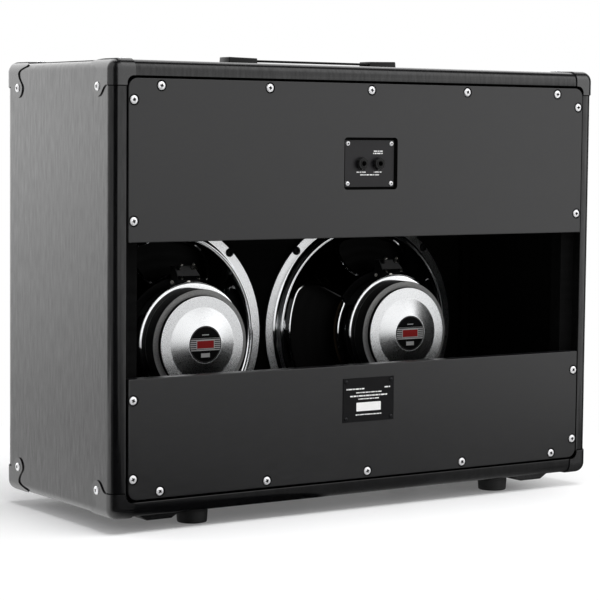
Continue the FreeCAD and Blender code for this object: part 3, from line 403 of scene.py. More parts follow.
def table_finish(name):
    """A finish whose colour, roughness and relief follow one of the shared effects."""
    colour, scale, detail, rough, bump, vary, extras = FINISHES[name]
    if isinstance(colour, str):
        colour = getattr(colours(), colour)
    sockets = dict(extras)
    values = {"Stretch": sockets.pop("Stretch", (1.0, 1.0, 1.0)), "Scale": scale}
    if detail:
        values["Detail"] = detail
    dust, rub, coat = (sockets.pop(key, None) for key in ("dust", "rub", "coat"))
    material, tree, shader = new_material(name, sockets)
    marks = filled(tree, grain_effect() if detail else pebble_effect(), values)
    tone = marks["Tone"]
    base = mixed(tree, tone, shade(colour, vary[0]), shade(colour, vary[1]))
    if rub:
        base = mixed(tree, filled(tree, rub_effect(), {"Amount": rub})["Mask"], base, shade(colour, 3.0))
    if dust:
        base = mixed(tree, filled(tree, dust_effect(), {"Amount": dust})["Mask"], base, DUST_COLOUR)
    feed(tree, shader, Base_Color=base, Roughness=spread(tree, tone, 0.0, 1.0, *rough))
    if coat:
        feed(tree, shader, Coat_Weight=spread(tree, tone, 0.0, 1.0, *coat))
    relief(tree, shader, *bump, marks["Height"])
    return material


def zinc_plate(name):
    """Bright plate with turning marks and a fine frosted speckle."""
    material, tree, shader = new_material(name, {"Metallic": 1.0})
    rings = filled(tree, ring_effect(), {"Fineness": 1800.0})
    specks = filled(tree, grain_effect(), {"Scale": 1100.0, "Detail": 3.0})
    patches = filled(tree, grain_effect(), {"Scale": 26.0, "Detail": 5.0})
    colour = tuple(colours().zinc)
    base = mixed(tree, specks["Tone"], shade(colour, 0.86), shade(colour, 1.08))
    base = mixed(tree, times(tree, patches["Tone"], 0.12), base, shade(colour, 0.7))
    feed(tree, shader, Base_Color=base, Roughness=spread(tree, specks["Tone"], 0.0, 1.0, 0.24, 0.34))
    height = sums(tree, "MULTIPLY_ADD", specks["Height"], 0.9, times(tree, rings["Height"], 0.1))
    relief(tree, shader, 0.22, 0.0002, height)
    return material


def woven_cloth(name):
    """Black grille cloth, woven from round threads, darker in their dips and near-black in the gaps between
    them: painted shade.
    """
    material, tree, shader = new_material(name, {"Sheen Weight": 0.25, "Sheen Roughness": 0.5, SHINE: 0.3})
    weave = filled(tree, weave_effect(), {"Pitch": sizes().thread_pitch})
    colour = tuple(colours().cloth)
    base = mixed(tree, weave["Tone"], shade(colour, 0.3), shade(colour, 2.0))
    # Painted shade: the gaps between the threads turn near-black
    base = mixed(tree, spread(tree, weave["Gap"], 0.25, 0.5, 1.0, 0.0), base, (0.001, 0.001, 0.001, 1.0))
    feed(tree, shader, Base_Color=base, Roughness=spread(tree, weave["Tone"], 0.0, 1.0, 0.9, 0.65))
    relief(tree, shader, 0.7, 0.0004, weave["Height"])
    return material


def label_print(name):
    """A plain round label: black, with a ruled band, a plain bar on it and two plain pale marks."""
    material, tree, shader = new_material(name, {SHINE: 0.04})
    place = filled(tree, ring_effect(), {"Fineness": 1800.0})
    specks = filled(tree, grain_effect(), {"Scale": 2600.0, "Detail": 3.0})["Tone"]
    across = sums(tree, "ABSOLUTE", place["Across"])
    edge = sizes().label_radius - 0.0012

    def block(low, high, reach):
        """Inside a plain bar on the label."""
        rise = sums(tree, "COMPARE", place["Up"], (low + high) / 2, (high - low) / 2)
        return times(tree, rise, sums(tree, "LESS_THAN", across, reach))

    rules = sums(tree, "LESS_THAN", sums(tree, "FRACT", sums(tree, "DIVIDE", place["Up"], 0.0026)), 0.55)
    ruled = times(tree, times(tree, block(-0.0080, 0.0082, 0.03), rules),
                  sums(tree, "LESS_THAN", place["Radius"], edge))
    plain = most(tree, block(-0.0058, 0.0058, 0.0135), block(-0.0165, -0.0112, 0.0065))
    plain = most(tree, plain, block(0.0118, 0.0130, 0.0050))
    ring = times(tree, sums(tree, "COMPARE", place["Radius"], edge, 0.0003), 0.15)
    ink = mixed(tree, specks, (0.003, 0.003, 0.003, 1.0), (0.006, 0.006, 0.006, 1.0))
    base = mixed(tree, most(tree, most(tree, ruled, plain), ring), ink, (0.70, 0.70, 0.69, 1.0))
    base = mixed(tree, block(-0.0048, 0.0048, 0.0125), base, tuple(colours().label_band))
    feed(tree, shader, Base_Color=base, Roughness=spread(tree, specks, 0.0, 1.0, 0.4, 0.5))
    return material


OWN_FINISHES = {"frosted_zinc_plate": zinc_plate, "woven_grille_cloth": woven_cloth,
                "plain_round_label": label_print}


@functools.cache
def finish(name):
    """A finish by its name, made when it is first asked for."""
    return OWN_FINISHES.get(name, table_finish)(name)


# Mesh helpers

def make_object(name, data):
    piece = bpy.data.objects.new(name, data)
    bpy.context.scene.collection.objects.link(piece)
    return piece


def smooth(mesh, angle=35.0):
    """Smooth shading with sharp edges above an angle."""
    mesh.shade_smooth()
    mesh.set_sharp_from_angle(angle=math.radians(angle))


def settle(piece):
    """Turns a piece with modifiers into a plain mesh and takes the modifiers off."""
    graph = bpy.context.evaluated_depsgraph_get()
    mesh = bpy.data.meshes.new_from_object(piece.evaluated_get(graph))
    mesh.name = piece.name
    old = piece.data
    piece.modifiers.clear()
    piece.data = mesh
    bpy.data.meshes.remove(old)
    return piece


def modified(mesh, kind, **settings):
    """A mesh with one modifier carried out on it."""
    piece = make_object("being_shaped", mesh)
    modifier = piece.modifiers.new("Shape", kind)
    for key, value in settings.items():
        setattr(modifier, key, value)
    result = settle(piece).data
    bpy.data.objects.remove(piece)
    return result


def cut_with(mesh, cutter):
    """A mesh with the cutter's volume taken out."""
    tool = make_object("cutter", cutter)
    result = modified(mesh, "BOOLEAN", operation="DIFFERENCE", solver="EXACT", object=tool)
    bpy.data.objects.remove(tool)
    bpy.data.meshes.remove(cutter)
    return result


def bevelled(mesh, width, segments=3, angle=40.0):
    """A mesh with its sharp edges rounded."""
    smooth(mesh, angle)
    return modified(mesh, "BEVEL", width=width * MM, segments=segments, limit_method="ANGLE",
                    angle_limit=math.radians(angle), harden_normals=True)


def weighted(mesh, angle=32.0):
    """A mesh whose flat faces keep their even shading up to its rounded edges."""
    smooth(mesh, angle)
    return modified(mesh, "WEIGHTED_NORMAL", keep_sharp=True)


def to_mesh(name, bm, weld=1e-7, turn=True):
    """A mesh from a bmesh, welded, with its faces outwards."""
    if weld:
        bmesh.ops.remove_doubles(bm, verts=bm.verts, dist=weld)
        bmesh.ops.dissolve_degenerate(bm, edges=bm.edges, dist=weld)
    if turn:
        bmesh.ops.recalc_face_normals(bm, faces=bm.faces)
    mesh = bpy.data.meshes.new(name)
    bm.to_mesh(mesh)
    bm.free()
    return mesh


def node_copy(node):
    """A welded copy of a node's mesh, with its flat faces joined up."""
    bm = bmesh.new()
    bm.from_mesh(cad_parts[node].data)
    bmesh.ops.remove_doubles(bm, verts=bm.verts, dist=2e-6)
    bmesh.ops.dissolve_degenerate(bm, edges=bm.edges, dist=1e-6)
    bmesh.ops.dissolve_limit(bm, angle_limit=math.radians(0.5), verts=bm.verts, edges=bm.edges)
    return to_mesh(node + "_copy", bm, weld=0, turn=False)


def finished(piece, finishes, stands_for=(), angle=35.0, body="cabinet"):
    """Gives a piece its finishes, smooth shading and body, and hides the nodes it stands for."""
    for name in finishes:
        piece.data.materials.append(finish(name))
    if angle:
        smooth(piece.data, angle)
    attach(piece, body)
    if stands_for:
        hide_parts(*stands_for)
    return piece


def bending(piece, name, node, angle):
    """Finishes a soft piece, one that bends between the cabinet and another body: its finish, smooth shading,
    its place baked into its mesh, and its node hidden.
    """
    piece.data.materials.append(finish(name))
    smooth(piece.data, angle)
    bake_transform(piece)
    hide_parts(node)


def circle(radius, count):
    """Points round a circle."""
    return [(radius * math.cos(2 * math.pi * i / count), radius * math.sin(2 * math.pi * i / count))
            for i in range(count)]


def corner_turns(steps):
    """The directions round a rounded rectangle as (across, up, cosine, sine), corner after corner."""
    for across, up, start in ((1, 1, 0), (-1, 1, 90), (-1, -1, 180), (1, -1, 270)):
        for step in range(steps + 1):
            angle = math.radians(start + 90 * step / steps)
            yield across, up, math.cos(angle), math.sin(angle)


def rounded_rectangle(width, height, radius, steps=5):
    """The outline of a rectangle with round corners, about its centre."""
    return [(across * (width / 2 - radius) + radius * c, up * (height / 2 - radius) + radius * s)
            for across, up, c, s in corner_turns(steps)]


def soften(corners, closed=True, steps=4):
    """Rounds the corners (x, y, radius) of an outline and sets a support point beside each arc."""
    count = len(corners)
    path = []
    for index, corner in enumerate(corners):
        here = Vector(corner[:2])
        radius = corner[2] if len(corner) > 2 else 0.0
        if radius <= 0 or not closed and index in (0, count - 1):
            path.append(tuple(here))
            continue
        before = Vector(corners[index - 1][:2]) - here
        after = Vector(corners[(index + 1) % count][:2]) - here
        room = min(before.length, after.length)
        before.normalize()
        after.normalize()
        half = before.angle(after) / 2
        reach = min(radius / math.tan(half), room * 0.48)
        radius = reach * math.tan(half)
        centre = here + (before + after).normalized() * (radius / math.sin(half))
        start, end = here + before * reach, here + after * reach
        support = min(0.4, room * 0.5 - reach)
        if support > 0.02:
            path.append(tuple(start + before * support))
        first = start - centre
        swing = first.angle_signed(end - centre, 0.0)
        for step in range(steps + 1):
            path.append(tuple(centre + Matrix.Rotation(-swing * step / steps, 2) @ first))
        if support > 0.02:
            path.append(tuple(end + after * support))
    return path


def profile(level, *corners, closed=True):
    """A softened outline of (radius, depth, rounding), its depths counted from a level."""
    return soften([(radius, level + depth, *rounding) for radius, depth, *rounding in corners], closed)


def skin(bm, loops, closed=False):
    """Faces between neighbouring loops; a loop of one repeated point gives triangles."""
    made = []
    for first, second in zip(loops, loops[1:] + loops[:1] if closed else loops[1:]):
        for index, vert in enumerate(first):
            after = (index + 1) % len(first)
            corners = []
            for corner in (vert, first[after], second[after], second[index]):
                if corner not in corners:
                    corners.append(corner)
            if len(corners) > 2:
                made.append(bm.faces.new(corners))
    return made


def close_levels(bm, low, high):
    """Joins two loops of points into a closed block."""
    bm.faces.new(low[::-1])
    bm.faces.new(high)
    skin(bm, [low, high])


def prism(bm, outline, low, high, place):
    """A closed prism: outline points go through place at the two levels."""
    bottom, top = ([bm.verts.new(place(u, v, level)) for u, v in outline] for level in (low, high))
    bm.faces.new(bottom)
    bm.faces.new(top[::-1])
    for index in range(len(outline)):
        after = (index + 1) % len(outline)
        bm.faces.new((bottom[index], top[index], top[after], bottom[after]))


def on_rear(x, z):
    """Places outline points on a plane that faces the rear, round a centre in millimetres."""
    return lambda u, v, depth: ((x + u) * MM, depth * MM, (z + v) * MM)


def turn(bm, outline, x, z, segments=96, closed=True):
    """Turns an outline of (radius, depth) about an axis that points to the rear, in millimetres."""
    place = on_rear(x, z)
    rings = []
    for radius, depth in outline:
        if radius < 1e-6:
            rings.append([bm.verts.new(place(0, 0, depth))] * segments)
        else:
            rings.append([bm.verts.new(place(u, v, depth)) for u, v in circle(radius, segments)])
    skin(bm, rings, closed)


def turned_up(name, outline, segments=64, closed=True):
    """A mesh turned about the Z axis from an outline of (radius, height) in millimetres."""
    bm = bmesh.new()
    turn(bm, outline, 0, 0, segments, closed)
    for vert in bm.verts:
        vert.co = (vert.co.x, vert.co.z, vert.co.y)
    mesh = to_mesh(name, bm)
    smooth(mesh, 40.0)
    return mesh


def speaker_ring(name, outline, x, segments=96, closed=True):
    """An object turned about a speaker's axis."""
    bm = bmesh.new()
    turn(bm, outline, x, SPEAKER_Z, segments, closed)
    return make_object(name, to_mesh(name, bm))


# Geometry nodes that set copies of one shape at many places

@functools.cache
def repeat_tree():
    """Copies of a shape at places, each aimed along its place's own direction and turned by chance."""
    tree = bpy.data.node_groups.new("Repeat at places", "GeometryNodeTree")
    for label, kind, default in (("Places", "Geometry", None), ("Shape", "Object", None),
                                 ("Turn", "Float", 0.0),
                                 ("Seed", "Int", 7), ("Finish", "Material", None)):
        socket = tree.interface.new_socket(label, in_out="INPUT", socket_type="NodeSocket" + kind)
        if default is not None:
            socket.default_value = default
    tree.interface.new_socket("Pieces", in_out="OUTPUT", socket_type="NodeSocketGeometry")
    given = tree.nodes.new("NodeGroupInput").outputs
    shape = add(tree, "GeometryNodeObjectInfo", {"Object": given["Shape"]})
    aim = add(tree, "GeometryNodeInputNamedAttribute", {"Name": "aim"}, data_type="FLOAT_VECTOR")
    facing = add(tree, "FunctionNodeAlignRotationToVector", {"Vector": aim.outputs[0]}, axis="Z")
    chance = add(tree, "FunctionNodeRandomValue", {"Seed": given["Seed"]}, data_type="FLOAT")
    euler = add(tree, "ShaderNodeCombineXYZ", {"Z": times(tree, chance.outputs[1], given["Turn"])})
    spin = add(tree, "FunctionNodeEulerToRotation", {0: euler.outputs[0]})
    turned = add(tree, "FunctionNodeRotateRotation", {0: facing.outputs[0], 1: spin.outputs[0]},
                 rotation_space="LOCAL")
    copies = add(tree, "GeometryNodeInstanceOnPoints", {
        "Points": given["Places"], "Instance": shape.outputs["Geometry"], "Rotation": turned.outputs[0]})
    real = add(tree, "GeometryNodeRealizeInstances", {0: copies.outputs[0]})
    coated = add(tree, "GeometryNodeSetMaterial", {"Geometry": real.outputs[0], "Material": given["Finish"]})
    feed(tree, tree.nodes.new("NodeGroupOutput"), Pieces=coated.outputs[0])
    return tree


def repeated(name, shape_mesh, places, finish_name, turn_by=0.0, seed=7):
    """One object of copies of a shape; places are (point, direction) in millimetres."""
    mesh = bpy.data.meshes.new(name)
    mesh.from_pydata([tuple(c * MM for c in point) for point, aim in places], [], [])
    attribute = mesh.attributes.new("aim", "FLOAT_VECTOR", "POINT")
    for index, (point, aim) in enumerate(places):
        attribute.data[index].vector = aim
    piece = make_object(name, mesh)
    shape = make_object(name + "_shape", shape_mesh)
    modifier = piece.modifiers.new("Repeat", "NODES")
    modifier.node_group = repeat_tree()
    values = {"Shape": shape, "Turn": turn_by, "Seed": seed, "Finish": finish(finish_name)}
    for item in modifier.node_group.interface.items_tree:
        if item.in_out == "INPUT" and item.name in values:
            modifier[item.identifier] = values[item.name]
    settle(piece)
    bpy.data.objects.remove(shape)
    bpy.data.meshes.remove(shape_mesh)
    return piece


# Steps

class CABINET_OT_stage(bpy.types.Operator):
    """Camera, floor, lamps and surroundings"""
    bl_idname = "cabinet.stage"
    bl_label = "Stage"

    def execute(self, context):
        scene = context.scene
        settings = scene.cabinet_stage
        scene.view_settings.view_transform = "Standard"
        azimuth, elevation = settings.azimuth, settings.elevation
        back = Vector((math.sin(azimuth) * math.cos(elevation), -math.cos(azimuth) * math.cos(elevation),
                       math.sin(elevation)))
        right = (-back).cross(Vector((0, 0, 1))).normalized()
        up = right.cross(-back)
        c, s = math.cos(settings.roll), math.sin(settings.roll)
        matrix = Matrix((right * c + up * s, up * c - right * s, back)).transposed().to_4x4()
        matrix.translation = Vector(settings.place)
        data = bpy.data.cameras.new("photo_camera")
        data.lens = settings.lens
        data.sensor_width = 36.0
        data.clip_end = 50.0
        scene.camera = make_object("photo_camera", data)
        scene.camera.matrix_world = matrix
        self.lamps(settings.lamp_level)
        self.surroundings(scene)
        self.floor()
        return {"FINISHED"}

    def lamps(self, level):
        """Three soft boxes: on the left in front, overhead, and on the right behind."""
        boxes = (("side_box", (1.75, -2.30, 0.75), (0.25, 0.0, 0.75), 2.0, 2.8, 45.0),
                 ("top_box", (-0.1, 0.5, 2.7), (0.0, 0.1, 0.3), 2.4, 2.0, 85.0),
                 ("rear_box", (-2.3, 1.9, 1.1), (-0.1, 0.1, 0.3), 1.2, 1.4, 16.0))
        for name, place, target, width, height, power in boxes:
            data = bpy.data.lights.new(name, "AREA")
            data.shape = "RECTANGLE"
            data.size = width
            data.size_y = height
            data.energy = power * level
            lamp = make_object(name, data)
            lamp.location = place
            lamp.rotation_euler = (Vector(target) - Vector(place)).to_track_quat("-Z", "Y").to_euler()
            lamp.visible_glossy = False

    def rays(self, tree):
        """Whether a ray is a mirrored one, and whether it comes from the camera."""
        path = add(tree, "ShaderNodeLightPath").outputs
        return path["Is Glossy Ray"], most(tree, path["Is Camera Ray"], path["Is Transmission Ray"])

    def surroundings(self, scene):
        """White all round; in reflections there are dark and grey flags, a high light and a pale wall."""
        scene.world = bpy.data.worlds.new("white_room")
        scene.world.use_nodes = True
        tree = scene.world.node_tree
        glossy, shown = self.rays(tree)
        way = add(tree, "ShaderNodeTexCoord").outputs["Generated"]
        rise = axes(tree, way)["Z"]
        high = times(tree, spread(tree, rise, 0.45, 0.65), self.facing(tree, way, 115.0, 40.0, 0.0, 1.0))
        flag = times(tree, most(tree, self.flags(tree, way), high), spread(tree, rise, 0.36, 0.5, 1.15, 1.3))
        flag = times(tree, flag, spread(tree, rise, 0.82, 0.92, 1.0, 0.03))
        wall = times(tree, self.facing(tree, way, -82.0, 25.0, 0.0, 1.0),
                     spread(tree, rise, -0.17, 0.03, 1.15, 2.35))
        plain = mixed(tree, glossy, (0.35, 0.35, 0.36, 1.0), most(tree, flag, wall))
        feed(tree, tree.nodes["Background"], Color=mixed(tree, shown, plain, (1.0, 1.0, 1.0, 1.0)))

    def facing(self, tree, way, angle, half, outside, inside):
        """One value within a range of directions round the cabinet and another outside it."""
        place = axes(tree, way)
        level = add(tree, "ShaderNodeCombineXYZ", {"X": place["X"], "Y": place["Y"]}).outputs[0]
        aim = (math.cos(math.radians(angle)), math.sin(math.radians(angle)), 0.0)
        share = vector(tree, "DOT_PRODUCT", vector(tree, "NORMALIZE", level).outputs[0], aim).outputs["Value"]
        edges = (math.cos(math.radians(half + 3)), math.cos(math.radians(half - 3)))
        return spread(tree, share, *edges, outside, inside)

    def flags(self, tree, way):
        """For reflections, dark and grey flags round the cabinet, and a bright strip beside the camera."""
        level = self.facing(tree, way, 46.0, 24.0, 1.0, 0.02)
        for angle, half, inside in ((-10.0, 40.0, 0.5), (182.0, 22.0, 0.08), (-114.0, 8.0, 0.05)):
            level = sums(tree, "MINIMUM", level, self.facing(tree, way, angle, half, 1.0, inside))
        return most(tree, level, self.facing(tree, way, 140.0, 14.0, 0.0, 1.35))

    def floor(self):
        """A white floor that keeps the soft shadow near the cabinet and fades to plain white away from it."""
        bm = bmesh.new()
        middle, segments = 2.7, 64
        rings = [[bm.verts.new((0, middle, 0))] * segments]
        for radius in (1.0, 2.0, 2.8, 3.5):
            rings.append([bm.verts.new((u, middle + v, 0)) for u, v in circle(radius, segments)])
        skin(bm, rings[::-1])
        floor = make_object("pale_floor", to_mesh("pale_floor", bm))
        material = bpy.data.materials.new("pale_floor_paint")
        material.use_nodes = True
        tree = material.node_tree
        tree.nodes.remove(tree.nodes["Principled BSDF"])
        glossy, shown = self.rays(tree)
        distance = vector(tree, "LENGTH", object_place(tree)).outputs["Value"]
        place = axes(tree, object_place(tree))
        # What the camera sees: painted floor with a slight lift, then plain white
        paint = add(tree, "ShaderNodeBsdfDiffuse", {"Color": (0.92, 0.92, 0.92, 1.0)})
        gloss = add(tree, "ShaderNodeBsdfGlossy", {"Roughness": 0.28})
        edge = times(tree, add(tree, "ShaderNodeFresnel", {"IOR": 1.33}).outputs[0], 0.5)
        coated = add(tree, "ShaderNodeMixShader", {0: edge, 1: paint.outputs[0], 2: gloss.outputs[0]})
        lift = add(tree, "ShaderNodeEmission", {"Strength": times(tree, shown, 0.12)})
        lit = add(tree, "ShaderNodeAddShader", {0: coated.outputs[0], 1: lift.outputs[0]})
        white = add(tree, "ShaderNodeEmission", {"Strength": shown})
        fade = add(tree, "ShaderNodeMapRange", {"Value": distance, "From Min": 0.55, "From Max": 0.80},
                   interpolation_type="SMOOTHSTEP").outputs["Result"]
        sides = most(tree, spread(tree, place["X"], 0.37, 0.52, 0.0, 0.9),
                     spread(tree, place["X"], -0.42, -0.26, 0.7, 0.0))
        share = times(tree, most(tree, fade, sides), shown)
        seen = add(tree, "ShaderNodeMixShader", {0: share, 1: lit.outputs[0], 2: white.outputs[0]})
        # What the cabinet mirrors: dim near it, brighter far away and beside its left wall
        level = most(tree, spread(tree, distance, 0.4, 4.5, 0.20, 1.0),
                     spread(tree, place["X"], -1.2, -0.4, 0.9, 0.0))
        beside = times(tree, spread(tree, place["X"], 0.32, 0.38),
                       spread(tree, place["Y"], 0.10, 0.20, 1.2, 0.0))
        level = most(tree, times(tree, level, self.flags(tree, object_place(tree))), beside)
        mirrored = add(tree, "ShaderNodeEmission", {"Strength": level})
        both = add(tree, "ShaderNodeMixShader", {0: glossy, 1: seen.outputs[0], 2: mirrored.outputs[0]})
        feed(tree, tree.nodes["Material Output"], Surface=both.outputs[0])
        floor.data.materials.append(material)


class CABINET_OT_carcass(bpy.types.Operator):
    """Covering of the carcass, and finishes of the boards, panels and other plain nodes"""
    bl_idname = "cabinet.carcass"
    bl_label = "Carcass and panels"

    def execute(self, context):
        wrap = make_object("cabinet_covering", self.covering())
        finished(wrap, ["vinyl_vertical_grain"], ["vinyl_covering"], 50.0)
        plain = {
            "black_stained_ply": ("top_board", "bottom_board", "left_board", "right_board", "baffle_board",
                                  "baffle_battens", "rear_battens", "grille_frame"),
            "pressed_gasket_board": ("speaker_gaskets",),
            "black_jack_plastic": ("left_jack_body", "right_jack_body"),
            "tinned_tag_brass": ("jack_contacts",),
            "copper_winding": ("left_voice_coil", "right_voice_coil"),
            "frosted_zinc_plate": ("handle_studs",),
        }
        for name, nodes in plain.items():
            for node in nodes:
                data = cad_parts[node].data
                data.materials.clear()
                data.materials.append(finish(name))
        for node, name in (("upper_rear_panel", "upper_board"), ("lower_rear_panel", "lower_board")):
            board = make_object(name, weighted(node_copy(node)))
            if name == "lower_board":
                board.data.transform(Matrix.Diagonal((LOWER_PANEL_SHARE, 1.0, 1.0, 1.0)))
            finished(board, ["satin_black_board", "sooty_recess"], [node], 0)
            # The walls and floor of the jack plate pocket take the second finish: painted shade, near-black,
            # in the recess round the plate
            for face in board.data.polygons:
                x, y, z = face.center / MM
                if (-5.5 < y - PANEL_HIGH.y < -0.6 and abs(x) < POCKET_HALF_X
                        and abs(z - JACK_Z) < POCKET_HALF_Z):
                    face.material_index = 1
        return {"FINISHED"}

    def covering(self):
        """The vinyl round the carcass and over its front and rear edges, as a thin closed shell."""
        radius = sizes().edge_radius / MM
        thick = sizes().covering / MM
        inner = sizes().rail / MM - radius
        rear, front, steps = CASE_HIGH.y, CASE_LOW.y, 8

        def half(depth, sign, r):
            """One edge, from the opening out to the side, as (distance from the core, depth)."""
            points = [(-inner, depth - sign * 0.8), (-inner + 0.25, depth - sign * 0.25),
                      (-inner + 0.8, depth),
                      (-0.5, depth)]
            for step in range(steps + 1):
                angle = math.radians(90 - 90 * step / steps)
                points.append((r * math.cos(angle), depth - sign * (r - r * math.sin(angle))))
            return points + [(r, depth - sign * (r + 2))]

        outer = half(rear, 1, radius) + half(front, -1, radius)[::-1]
        inside = half(front + thick, -1, radius - thick) + half(rear - thick, 1, radius - thick)[::-1]
        bm = bmesh.new()
        loops = []
        for out, depth in outer + inside:
            loop = []
            for sx, sz, c, s in corner_turns(steps):
                dx, dz = (out * c, out * s) if out > 0 else (out * sx, out * sz)
                loop.append(bm.verts.new(((sx * (CASE_HIGH.x - radius) + dx) * MM, depth * MM,
                                          (CASE_MIDDLE + sz * (CASE_RISE - radius) + dz) * MM)))
            loops.append(loop)
        skin(bm, loops, True)
        return to_mesh("vinyl_wrap", bm, weld=1e-6)


class CABINET_OT_fasteners(bpy.types.Operator):
    """All the screws, set by geometry nodes"""
    bl_idname = "cabinet.fasteners"
    bl_label = "Screws"

    def execute(self, context):
        head = sizes().panel_screw / MM
        small = sizes().plate_screw / MM
        bright = ("plated_screw_steel", "bright_screw")
        panels = self.panels()
        self.group("panel_screw", (head, HEAD_RISE, SHANK, 28.2), panels, *bright, 3)
        # Black cup washers round the panel screw heads; their near-black finish is partly the washers' own
        # colour and partly painted shade round each head
        cup = soften([(head - 0.5, 0.0), (head + 0.72, 0.0), (head + 0.72, 0.82), (head + 1.6, 0.82),
                      (head + 1.5, 1.0, 0.1), (head + 0.6, 1.0, 0.1), (head + 0.05, 0.35, 0.1)])
        cups = repeated("panel_screw_cups", turned_up("cup", cup, 32), panels, "sooty_recess")
        finished(cups, [], angle=0)
        corners = []
        for sx, sy in QUADRANTS:
            for sz in (1, -1):
                y = sy * (CASE_HIGH.y - 35.0)
                corners.append(((sx * (CASE_HIGH.x + PROTECTOR_WALL), y,
                                 CASE_MIDDLE + sz * (CASE_RISE - PROTECTOR_SCREW)), (sx, 0, 0)))
                corners.append(((sx * (CASE_HIGH.x - PROTECTOR_SCREW), y,
                                 CASE_MIDDLE + sz * (CASE_RISE + PROTECTOR_WALL)), (0, 0, sz)))
        self.group("corner_screw", (head, HEAD_RISE, SHANK, 15.5), corners, *bright, 5)
        self.group("jack_plate_screw", (small, 1.5, 1.5, 9.0), self.plate(JACK_LOW, JACK_HIGH, 4.2), *bright,
                   11)
        self.group("data_plate_screw", (2.6, 1.5, 1.5, 9.0), self.plate(DATA_LOW, DATA_HIGH, 4.5),
                   "black_oxide_screw", "dark_screw", 13)
        flanges = []
        for side, sign in SIDES:
            for index in range(4):
                angle = math.radians(45 + 90 * index)
                flanges.append(((sign * SPEAKER_X + SCREW_CIRCLE * math.cos(angle), FLANGE_REAR,
                                 SPEAKER_Z + SCREW_CIRCLE * math.sin(angle)), REAR))
        self.group("speaker_screw", (5.9, 3.0, SHANK, 16.4), flanges, "matt_black_plate", "dark_screw", 17)
        feet = [((sx * FOOT_X, sy * FOOT_Y, 12.0), (0, 0, -1)) for sx, sy in QUADRANTS]
        self.group("foot_screw", (head, HEAD_RISE, SHANK, 21.0), feet, *bright, 19)
        return {"FINISHED"}

    def panels(self):
        """Places along the outer edge of each rear panel and at the ends of its sides."""
        half, seat = PANEL_HIGH.x, PANEL_HIGH.y - 0.8
        low, high = box_mm("lower_rear_panel")
        places = []
        for outer, slot, inward in ((PANEL_HIGH.z, PANEL_LOW.z, -1), (low.z, high.z, 1)):
            for index in range(5):
                places.append(((half - 44.5) * (index / 2 - 1), seat, outer + inward * 8.5))
            for sign in (1, -1):
                places.append((sign * (half - 7.5), seat, outer + inward * 25.5))
                places.append((sign * (half - 7.5), seat, slot - inward * 25.5))
        return [(place, REAR) for place in places]

    def plate(self, low, high, inset):
        """Places at the corners of a plate that faces the rear."""
        return [((x, high.y, z), REAR) for x in (low.x + inset, high.x - inset)
                for z in (low.z + inset, high.z - inset)]

    def group(self, name, shape, places, finish_name, slot, seed):
        """One set of screws in place of its node, and for bright ones a near-black insert in each cross
        recess: painted shade.
        """
        chance = {"turn_by": math.pi / 2, "seed": seed}
        piece = repeated(name + "_set", self.screw(*shape), places, finish_name, **chance)
        finished(piece, [], [name + "s"], 0)
        if slot == "bright_screw":
            recess = repeated(name + "_set_recess", self.cross(*shape[:2]), places, "sooty_recess", **chance)
            finished(recess, [], angle=0)

    def screw(self, head, height, shank, length):
        """A screw along +Z: domed head on Z = 0 with a tapered cross recess, and its shank below."""
        rim = height * 0.22
        outline = [(0.0, -length - shank), (shank, -length), (shank, 0.0), (head * 0.96, 0.0),
                   (head, rim * 0.5)]
        for step in range(7):
            angle = math.radians(90 * step / 6)
            outline.append((head * math.cos(angle * 0.97), rim + (height - rim) * math.sin(angle)))
        mesh = turned_up("screw", outline + [(0.0, height)], 24, False)
        arm, half = head * 0.5, head * 0.18
        floor = height - head * 0.55
        for across in (False, True):
            cutter = bmesh.new()
            levels = []
            for level, reach, wide in ((floor, arm * 0.5, half * 0.75),
                                       (height + 1.0, arm * 1.1, half * 1.1)):
                a, b = (reach, wide) if across else (wide, reach)
                levels.append([cutter.verts.new((u * a * MM, v * b * MM, level * MM))
                               for u, v in ((-1, -1), (1, -1), (1, 1), (-1, 1))])
            close_levels(cutter, *levels)
            mesh = cut_with(mesh, to_mesh("cross_bar", cutter))
        smooth(mesh)
        return mesh

    def cross(self, head, height):
        """A near-black insert in a screw's cross recess: painted shade."""
        arm, half = head * 0.44, head * 0.16
        quarter = [(half, half), (half, arm), (-half, arm)]
        outline = []
        for turns in range(4):
            outline += quarter
            quarter = [(-v, u) for u, v in quarter]
        bm = bmesh.new()
        prism(bm, outline, height * 0.4, height * 0.8, lambda u, v, d: (u * MM, v * MM, d * MM))
        return to_mesh("cross", bm)


class CABINET_OT_corners(bpy.types.Operator):
    """The eight moulded corner protectors"""
    bl_idname = "cabinet.corners"
    bl_label = "Corner protectors"

    def execute(self, context):
        for end in ("rear", "front"):
            for level in ("top", "bottom"):
                for side, sign in SIDES:
                    place = "%s_%s_%s" % (end, level, side)
                    mesh = weighted(bevelled(node_copy("corner_" + place), 0.8, 3, 50.0))
                    finished(make_object("protector_" + place, mesh), ["moulded_corner_plastic"],
                             ["corner_" + place], 0)
        self.seams()
        return {"FINISHED"}

    def seams(self):
        """A painted shadow line: a near-black strip where each upright leg of a protector ends on the
        covering.
        """
        radius = sizes().edge_radius / MM
        inner = sizes().rail / MM - radius
        half_height, steps = 0.7, 8
        rows = []
        for lift in (0.3, -0.3):
            row = [(0.8 - inner, CASE_HIGH.y + lift)]
            for step in range(steps + 1):
                angle = math.radians(90 - 90 * step / steps)
                row.append(((radius + lift) * math.cos(angle),
                            CASE_HIGH.y - radius + (radius + lift) * math.sin(angle)))
            rows.append(row)
        bm = bmesh.new()
        for sx, sy in QUADRANTS:
            for level in (CASE_LOW.z + PROTECTOR_LEG, CASE_HIGH.z - PROTECTOR_LEG):
                prism(bm, rows[0] + rows[1][::-1], level - half_height, level + half_height,
                      lambda u, v, d: (sx * (CASE_HIGH.x - radius + u) * MM, sy * v * MM, d * MM))
        finished(make_object("protector_seams", to_mesh("seams", bm)), ["sooty_recess"],
                 angle=30.0)


